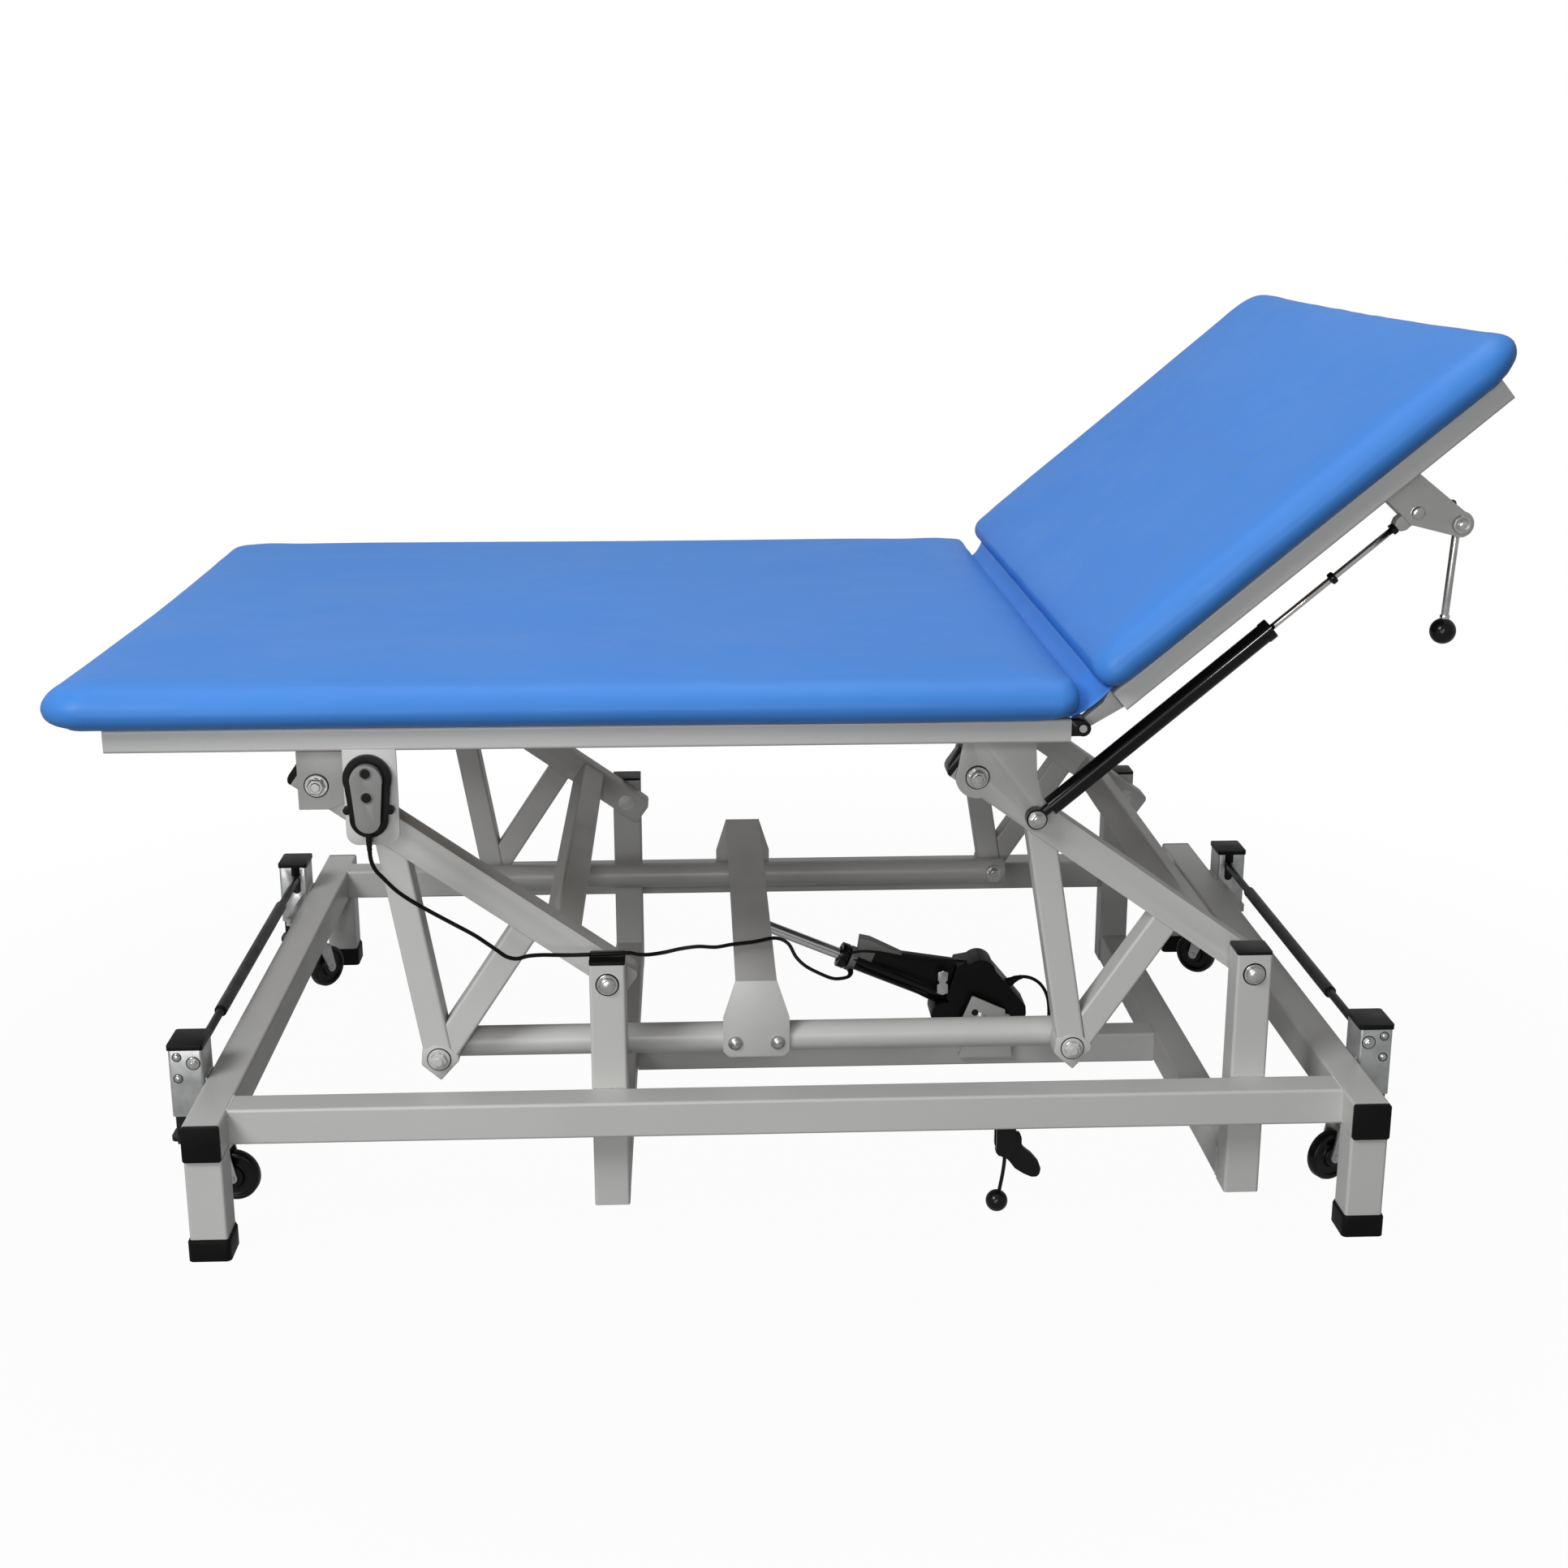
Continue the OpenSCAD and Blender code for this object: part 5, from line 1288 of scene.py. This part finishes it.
@dataclass
class Fasteners:
    """Bolts of one kind and size on one body, placed by Geometry Nodes."""

    name: str
    body: str
    head: Head
    radius: float
    height: float
    washer: float
    fixings: tuple[Fixing, ...]
    slot: Slot = Slot.BOLT
    washer_t: float = 2.3
    replaced: tuple[str, ...] = ()
    seed: int = 3

    def _raised(self, g: Graph, mesh: Socket, lift: Socket | None, size: Socket | None) -> Socket:
        """Scales a mesh and lifts it over the face.

        Args:
            g: The tree.
            mesh: The mesh.
            lift: How far it goes up.
            size: Its scale.

        Returns:
            The moved mesh.
        """
        move = g.node("GeometryNodeTransform", {"Geometry": mesh})
        if lift is not None:
            g.fill(move, {"Translation": g.node("ShaderNodeCombineXYZ", {2: lift}).outputs[0]})
        if size is not None:
            g.fill(move, {"Scale": size})
        return move.outputs["Geometry"]

    def _slice(self, g: Graph, sides: int, radius: Socket, low: float, high: float, height: Socket, tall: float,
               lift: Socket | None) -> Socket:
        """Adds one straight or tapered slice.

        Args:
            g: The tree.
            sides: Its sides.
            radius: The radius that its two shares are taken of.
            low: Share of its lower radius.
            high: Share of its upper radius.
            height: The height that its share is taken of.
            tall: Share of its height.
            lift: Its height over the face.

        Returns:
            The slice's mesh.
        """
        made = g.node("GeometryNodeMeshCone", {
            "Vertices": sides, "Radius Bottom": g.math("MULTIPLY", radius, low),
            "Radius Top": g.math("MULTIPLY", radius, high), "Depth": g.math("MULTIPLY", height, tall)})
        return self._raised(g, made.outputs["Mesh"], lift, None)

    def _head(self, g: Graph) -> list[Socket]:
        """Adds the nodes of the head.

        Args:
            g: The tree.

        Returns:
            The head's meshes.
        """
        radius, height, washer_t = (g.given(n) for n in ("Head Radius", "Head Height", "Washer Thickness"))
        if self.head is Head.RING:
            return []
        if self.head is Head.DOME:
            ball = g.node("GeometryNodeMeshUVSphere", {"Segments": 32, "Rings": 16, "Radius": 1.0})
            apart = g.node("ShaderNodeSeparateXYZ", {0: g.node("GeometryNodeInputPosition").outputs[0]})
            upper = g.node("ShaderNodeCombineXYZ", {
                0: apart.outputs[0], 1: apart.outputs[1], 2: g.math("MAXIMUM", apart.outputs[2], 0.0)})
            flat = g.node("GeometryNodeSetPosition", {"Geometry": ball.outputs["Mesh"], "Position": upper.outputs[0]})
            size = g.node("ShaderNodeCombineXYZ", {0: radius, 1: radius, 2: height})
            return [self._raised(g, flat.outputs["Geometry"], washer_t, size.outputs[0])]
        slices = ((6, 1.0, 1.0, 0.8, 0.0), (6, 1.0, 0.84, 0.2, 0.8), (20, 0.56, 0.56, 1.25, 0.0),
                  (20, 0.56, 0.46, 0.14, 1.25))
        return [self._slice(g, sides, radius, low, high, height, tall, g.math("MULTIPLY_ADD", height, at, washer_t))
                for sides, low, high, tall, at in slices]

    def tree(self) -> Tree:
        """Builds the tree: one bolt, put on every point and turned to look the point's way.

        Returns:
            The tree.
        """
        g = _started(self.name, {"Head Radius": 0.01, "Head Height": 0.006, "Washer Radius": 0.013,
                                 "Washer Thickness": 0.002, "Seed": 3})
        washer, thick = g.given("Washer Radius"), g.given("Washer Thickness")
        join = g.node("GeometryNodeJoinGeometry")
        parts = [self._slice(g, 40, washer, 1.0, 1.0, thick, 0.75, None),
                 self._slice(g, 40, washer, 1.0, 0.95, thick, 0.25, g.math("MULTIPLY", thick, 0.75))]
        for mesh in parts + self._head(g):
            g.fill(join, {0: mesh})
        facing = g.node("GeometryNodeInputNamedAttribute", {"Name": "facing"}, data_type="FLOAT_VECTOR")
        look = g.node("FunctionNodeAlignRotationToVector", {"Vector": facing.outputs["Attribute"]}, axis="Z")
        spin = g.node("FunctionNodeRandomValue", {2: 0.0, 3: math.pi / 3, "Seed": g.given("Seed")}, data_type="FLOAT")
        own = g.node("FunctionNodeAxisAngleToRotation", {"Axis": (0.0, 0.0, 1.0), "Angle": spin.outputs[1]})
        both = g.node("FunctionNodeRotateRotation", {"Rotation": look.outputs["Rotation"],
                                                     "Rotate By": own.outputs["Rotation"]}, rotation_space="LOCAL")
        return _placed(g, {"Points": g.given("Geometry"), "Instance": join.outputs[0],
                           "Rotation": both.outputs["Rotation"]})

    def build(self, paint: Paint) -> Obj:
        """Places the bolts.

        Args:
            paint: The materials.

        Returns:
            The bolts, as one mesh.
        """
        made = mesh_object(self.name, [place(*f.at) for f in self.fixings], [])
        facing = made.data.attributes.new("facing", "FLOAT_VECTOR", "POINT")
        for index, fixing in enumerate(self.fixings):
            facing.data[index].vector = fixing.facing
        _baked(made, self.tree(), {
            "Head Radius": self.radius * MM, "Head Height": self.height * MM, "Washer Radius": self.washer * MM,
            "Washer Thickness": self.washer_t * MM, "Seed": self.seed, "Material": paint.made[self.slot]}, 34)
        return paint.dress(made, self.slot, self.body, self.replaced)


def _both(points: Iterable[Point], out: float = -1.0) -> tuple[Fixing, ...]:
    """The same fixings in front and behind; they look away from the middle, or towards it with out at 1."""
    return tuple(Fixing((x, -side * y, z), (0.0, -side * out, 0.0)) for x, y, z in points for side in (-1, 1))


def _shade_rings(name: str, body: str, washer: float, fixings: tuple[Fixing, ...], thick: float) -> Fasteners:
    """Thin dark rings round the feet of some bolts: painted shade standing in for the shadow gap round their washers.
    """
    return Fasteners(name, body, Head.RING, 1.0, 1.0, washer, fixings, Slot.DARK, thick)


POSTS = _both([(x, -486, PIVOT_Z) for x in PIVOTS])
RIVETS = _both([(side * 828.0, -435, z) for side in (-1, 1) for z in (196, 227)])
NUTS = _both([(side * 806.5, -435, 218) for side in (-1, 1)])
LINKS = _both([(x, -434.3, LOWER_Z) for x in LOWER_PINS])
INNER_LINKS = _both([(x, -348, LOWER_Z) for x in LOWER_PINS], 1.0)
BRIDGE = _both([(x, -394.3, LOWER_Z) for x in (-71.0, -12.0)])
BED = _both([(x, -442, 608.1) for x in UPPER_PINS])
INNER_BED = _both([(x, -386, 608.1) for x in UPPER_PINS], 1.0)
GAS_LOW = (Fixing((329, -463.3, 555)),)
GAS_CAPS = (Fixing((GAS_TOP[0], -469, GAS_TOP[1])), Fixing((GAS_TOP[0], -441, GAS_TOP[1]), (0.0, 1.0, 0.0)))
FASTENERS = (
    Fasteners("post_bolts", "base", Head.DOME, 11.8, 7.2, 14.0, POSTS),
    Fasteners("motor_pin_caps", "base", Head.DOME, 5.0, 2.0, 5.6, _both([(322, -42.2, 104)]), Slot.FRAME, 0.5),
    Fasteners("housing_rivets", "base", Head.DOME, 4.6, 3.4, 5.2, RIVETS, washer_t=0.8, replaced=("housing_bolts",)),
    Fasteners("housing_nuts", "base", Head.NUT, 6.0, 4.2, 8.4, NUTS, washer_t=1.2),
    Fasteners("link_nuts", "link", Head.NUT, 11.6, 7.0, 15.0, LINKS, Slot.FRAME),
    Fasteners("link_inner_nuts", "link", Head.NUT, 11.6, 7.0, 15.0, INNER_LINKS),
    Fasteners("bridge_bolts", "link", Head.DOME, 7.2, 5.4, 8.6, BRIDGE, washer_t=1.2),
    Fasteners("rod_pin_caps", "link", Head.DOME, 9.4, 3.6, 10.0, _both([(-42.0, -18, 262)]), washer_t=0.8),
    Fasteners("bed_nuts", "bed", Head.NUT, 11.8, 7.0, 15.0, BED),
    Fasteners("bed_inner_nuts", "bed", Head.NUT, 11.8, 7.0, 15.0, INNER_BED),
    Fasteners("gas_low_nut", "bed", Head.NUT, 10.0, 5.4, 12.0, GAS_LOW),
    Fasteners("gas_top_caps", "back", Head.DOME, 8.8, 3.8, 9.6, GAS_CAPS, washer_t=0.8),
    # Dark rings of painted shade round the bolt feet, in place of the shadow gap round their washers
    _shade_rings("base_shade_rings", "base", 15.8, POSTS, 0.6),
    _shade_rings("rivet_shade_rings", "base", 6.6, RIVETS, 0.4),
    _shade_rings("nut_shade_rings", "base", 9.8, NUTS, 0.4),
    _shade_rings("link_shade_rings", "link", 16.4, LINKS, 0.6),
    _shade_rings("bridge_shade_rings", "link", 9.8, BRIDGE, 0.4),
    _shade_rings("bed_shade_rings", "bed", 16.4, BED, 0.6),
    _shade_rings("gas_shade_ring", "bed", 13.2, GAS_LOW, 0.5),
)


@dataclass
class Welds:
    """Painted weld seams of one body: rows of small overlapping beads laid along lines by Geometry Nodes."""

    name: str
    body: str
    seams: Sequence[tuple[Point, Point]]
    bead: float = 1.7
    spacing: float = 2.6
    seed: int = 5

    def tree(self) -> Tree:
        """Builds the tree.

        Returns:
            The tree.
        """
        g = _started(self.name, {"Bead Radius": 0.002, "Spacing": 0.0026, "Seed": 5})
        curve = g.node("GeometryNodeMeshToCurve", {"Mesh": g.given("Geometry")})
        steps = g.node("GeometryNodeResampleCurve", mode="LENGTH")
        g.fill(steps, {"Curve": curve.outputs["Curve"], "Length": g.given("Spacing")})
        along = g.node("GeometryNodeInputTangent").outputs["Tangent"]
        turn = g.node("FunctionNodeAlignRotationToVector", {"Vector": along}, axis="X")
        ball = g.node("GeometryNodeMeshUVSphere", {"Segments": 8, "Rings": 6, "Radius": g.given("Bead Radius")})
        vary = g.node("FunctionNodeRandomValue", {2: 0.86, 3: 1.12, "Seed": g.given("Seed")}, data_type="FLOAT")
        grown = vary.outputs[1]
        size = g.node("ShaderNodeCombineXYZ", {0: g.math("MULTIPLY", grown, 0.8), 1: grown, 2: grown})
        return _placed(g, {"Points": steps.outputs["Curve"], "Instance": ball.outputs["Mesh"],
                           "Rotation": turn.outputs["Rotation"], "Scale": size.outputs[0]})

    def build(self, paint: Paint) -> Obj:
        """Lays the seams.

        Args:
            paint: The materials.

        Returns:
            The seams, as one mesh.
        """
        ends = [place(*point) for seam in self.seams for point in seam]
        made = mesh_object(self.name, ends, [], [(i, i + 1) for i in range(0, len(ends), 2)])
        _baked(made, self.tree(), {"Bead Radius": self.bead * MM, "Spacing": self.spacing * MM, "Seed": self.seed,
                                   "Material": paint.made[Slot.FRAME]}, 60)
        return paint.dress(made, Slot.FRAME, self.body)


def _base_seams() -> list[tuple[Point, Point]]:
    """The seams of the base: rails into rails, posts against the side rails, low cross tubes into posts.

    Returns:
        The ends of each seam.
    """
    made: list[tuple[Point, Point]] = []
    for x in (-742.0, 742.0):
        for f in (-1, 1):
            made.append(((x, f * 535.0, 149.0), (x, f * 535.0, 188.0)))
            made.append(((x, f * 533.0, 192.4), (x, f * 489.0, 192.4)))
            made.append(((x, f * 487.0, 188.0), (x, f * 487.0, 149.0)))
    for x in PIVOTS:
        for f in (-1, 1):
            made.append(((x - 22.0, f * 486.0, 192.6), (x + 22.0, f * 486.0, 192.6)))
            made.append(((x - 22.0, f * 437.6, 67.0), (x + 22.0, f * 437.6, 67.0)))
            made.append(((x - 24.0, f * 437.6, 64.0), (x - 24.0, f * 437.6, 24.0)))
    return made


def _crank_seams(px: float) -> list[tuple[Point, Point]]:
    """The seams of one crank: the two legs against the under face of each arm.

    Args:
        px: Place of the lift pivot.

    Returns:
        The ends of each seam.
    """
    half_leg, half_arm = 19, 21.0
    a = math.radians(ARM_ANGLE)
    vertex = (px - 233.098, LOWER_Z)
    made: list[tuple[Point, Point]] = []
    for share in (0.77, 0.272):
        foot = (px + share * ARM * math.cos(a), PIVOT_Z + share * ARM * math.sin(a))
        lean = math.atan2(foot[1] - vertex[1], foot[0] - vertex[0])
        for side in (-1, 1):
            bx, bz = foot[0] - side * half_leg * math.sin(lean), foot[1] + side * half_leg * math.cos(lean)
            # Back along the leg to the arm's under face
            off = (bx - px) * -math.sin(a) + (bz - PIVOT_Z) * math.cos(a)
            rate = -math.cos(lean) * math.sin(a) + math.sin(lean) * math.cos(a)
            t = (half_arm * (1 if rate < 0 else -1) - off) / rate
            cx, cz = bx + t * math.cos(lean), bz + t * math.sin(lean)
            made += [((cx, f * 430.5, cz), (cx, f * 397.5, cz)) for f in (-1, 1)]
    return made


WELDS = (
    Welds("base_seams", "base", _base_seams()),
    Welds("crank_left_seams", "crank_left", _crank_seams(PIVOTS[0])),
    Welds("crank_right_seams", "crank_right", _crank_seams(PIVOTS[1])),
)


# Studio


@dataclass(frozen=True)
class Lamp:
    """A soft square lamp, with its places and side in metres and its power in watts."""

    name: str
    at: Point
    size: float
    power: float
    to: Point = (0.0, 0.0, 0.5)

    def build(self) -> None:
        """Hangs the lamp."""
        data = bpy.data.lights.new(self.name, "AREA")
        data.shape = "SQUARE"
        data.size = self.size
        data.energy = self.power
        made = bpy.data.objects.new(self.name, data)
        made.location = self.at
        made.rotation_euler = (Vector(self.to) - Vector(self.at)).to_track_quat("-Z", "Y").to_euler()
        bpy.context.collection.objects.link(made)


@dataclass
class Studio:
    """Camera, soft lamps, pale floor and white surround."""

    lens: float = 48.506
    eye: Point = (-120.97, -3124.95, 1346.79)
    yaw: float = -0.0432
    pitch: float = 0.2704
    roll: float = -0.001
    floor_size: float = 14.0
    floor_white: float = 0.97
    floor_tone: float = 0.14
    mirrored: float = 0.35
    surround: float = 0.13
    lamps: tuple[Lamp, ...] = (
        Lamp("key_lamp", (-3.0, -3.2, 3.9), 2.0, 150.0),
        Lamp("front_lamp", (-1.5, -5.2, 0.9), 2.2, 56.0),
        Lamp("top_lamp", (0.0, 0.2, 3.8), 3.0, 62.0),
        Lamp("line_lamp", (-0.15, -5.2, 2.2), 0.3, 30.0, (0.4, 0.0, 0.7)),
    )

    def camera(self) -> None:
        """Places the camera at the photograph's viewing angle."""
        data = bpy.data.cameras.new("camera")
        data.lens = self.lens
        data.sensor_width = 36.0
        data.clip_end = 60.0
        eye = bpy.data.objects.new("camera", data)
        level = math.cos(self.pitch)
        ahead = Vector((-math.sin(self.yaw) * level, math.cos(self.yaw) * level, -math.sin(self.pitch)))
        right = Vector((math.cos(self.yaw), math.sin(self.yaw), 0))
        turn = Matrix((right, right.cross(ahead), -ahead)).transposed().to_4x4()
        eye.matrix_world = Matrix.Translation(place(*self.eye)) @ turn @ Matrix.Rotation(self.roll, 4, "Z")
        bpy.context.collection.objects.link(eye)
        bpy.context.scene.camera = eye

    def _white_share(self, g: Graph, ray: Node) -> Socket:
        """How much of the white a ray sees: all from the camera, a part in reflections."""
        mirrored = g.math("MULTIPLY", ray.outputs["Is Glossy Ray"], self.mirrored)
        return g.math("MAXIMUM", ray.outputs["Is Camera Ray"], mirrored)

    def white(self) -> bpy.types.Material:
        """The floor's material: white to the camera and to reflections, with the shadow kept.

        Returns:
            The material.
        """
        made = bpy.data.materials.new("studio_floor")
        made.use_nodes = True
        g = Graph(made.node_tree)
        shader = g.tree.nodes["Principled BSDF"]
        g.fill(shader, {"Base Color": (self.floor_tone, self.floor_tone, self.floor_tone, 1), "Roughness": 0.9,
                        "Specular IOR Level": 0.0})
        glow = g.node("ShaderNodeEmission", {"Color": WHITE})
        seen = self._white_share(g, g.node("ShaderNodeLightPath"))
        away = g.node("ShaderNodeVectorMath", operation="LENGTH")
        g.fill(away, {0: g.node("ShaderNodeTexCoord").outputs["Object"]})
        fade = g.node("ShaderNodeMapRange", {
            "Value": away.outputs["Value"], "From Min": 0.9, "From Max": 2.2, "To Min": self.floor_white,
            "To Max": 1.0}, interpolation_type="SMOOTHSTEP")
        mix = g.node("ShaderNodeMixShader", {0: g.math("MULTIPLY", seen, fade.outputs["Result"]),
                                             1: shader.outputs[0], 2: glow.outputs[0]})
        g.fill(g.tree.nodes["Material Output"], {"Surface": mix.outputs[0]})
        return made

    def world(self) -> None:
        """Soft grey surround that shows white to the camera and in reflections."""
        world = bpy.data.worlds.new("studio_world")
        bpy.context.scene.world = world
        world.use_nodes = True
        g = Graph(world.node_tree)
        soft = g.tree.nodes["Background"]
        g.fill(soft, {"Color": WHITE, "Strength": self.surround})
        white = g.node("ShaderNodeBackground", {"Color": WHITE, "Strength": 1.0})
        ray = g.node("ShaderNodeLightPath")
        share = g.math("MAXIMUM", self._white_share(g, ray), ray.outputs["Is Transmission Ray"])
        mix = g.node("ShaderNodeMixShader", {0: share, 1: soft.outputs[0], 2: white.outputs[0]})
        g.fill(g.tree.nodes["World Output"], {"Surface": mix.outputs[0]})

    def build(self) -> None:
        """Builds the camera, the lamps, the floor and the surround."""
        self.camera()
        for lamp in self.lamps:
            lamp.build()
        corners = [(x * self.floor_size, y * self.floor_size, 0) for x, y in ((-1, -1), (1, -1), (1, 1), (-1, 1))]
        floor = mesh_object("studio_floor", corners, [(0, 1, 2, 3)])
        floor.data.materials.append(self.white())
        self.world()
        bpy.context.scene.view_settings.view_transform = "Standard"


def main() -> None:
    """Builds the studio and every sub-assembly in order."""
    Studio().build()
    paint = Paint()
    paint.build()
    assemblies = (ReleaseLever(), GasRod(), Pedal(), Housing(), Steelwork())
    pieces = [piece for assembly in assemblies for piece in assembly.pieces()]
    for part in (*CORDS, *RELIEFS, *PADS, Flap(), *EASED, *pieces, *FASTENERS, *WELDS):
        log.info("%s: %s", type(part).__name__, part.build(paint).name)


if __name__ == "__main__":
    main()
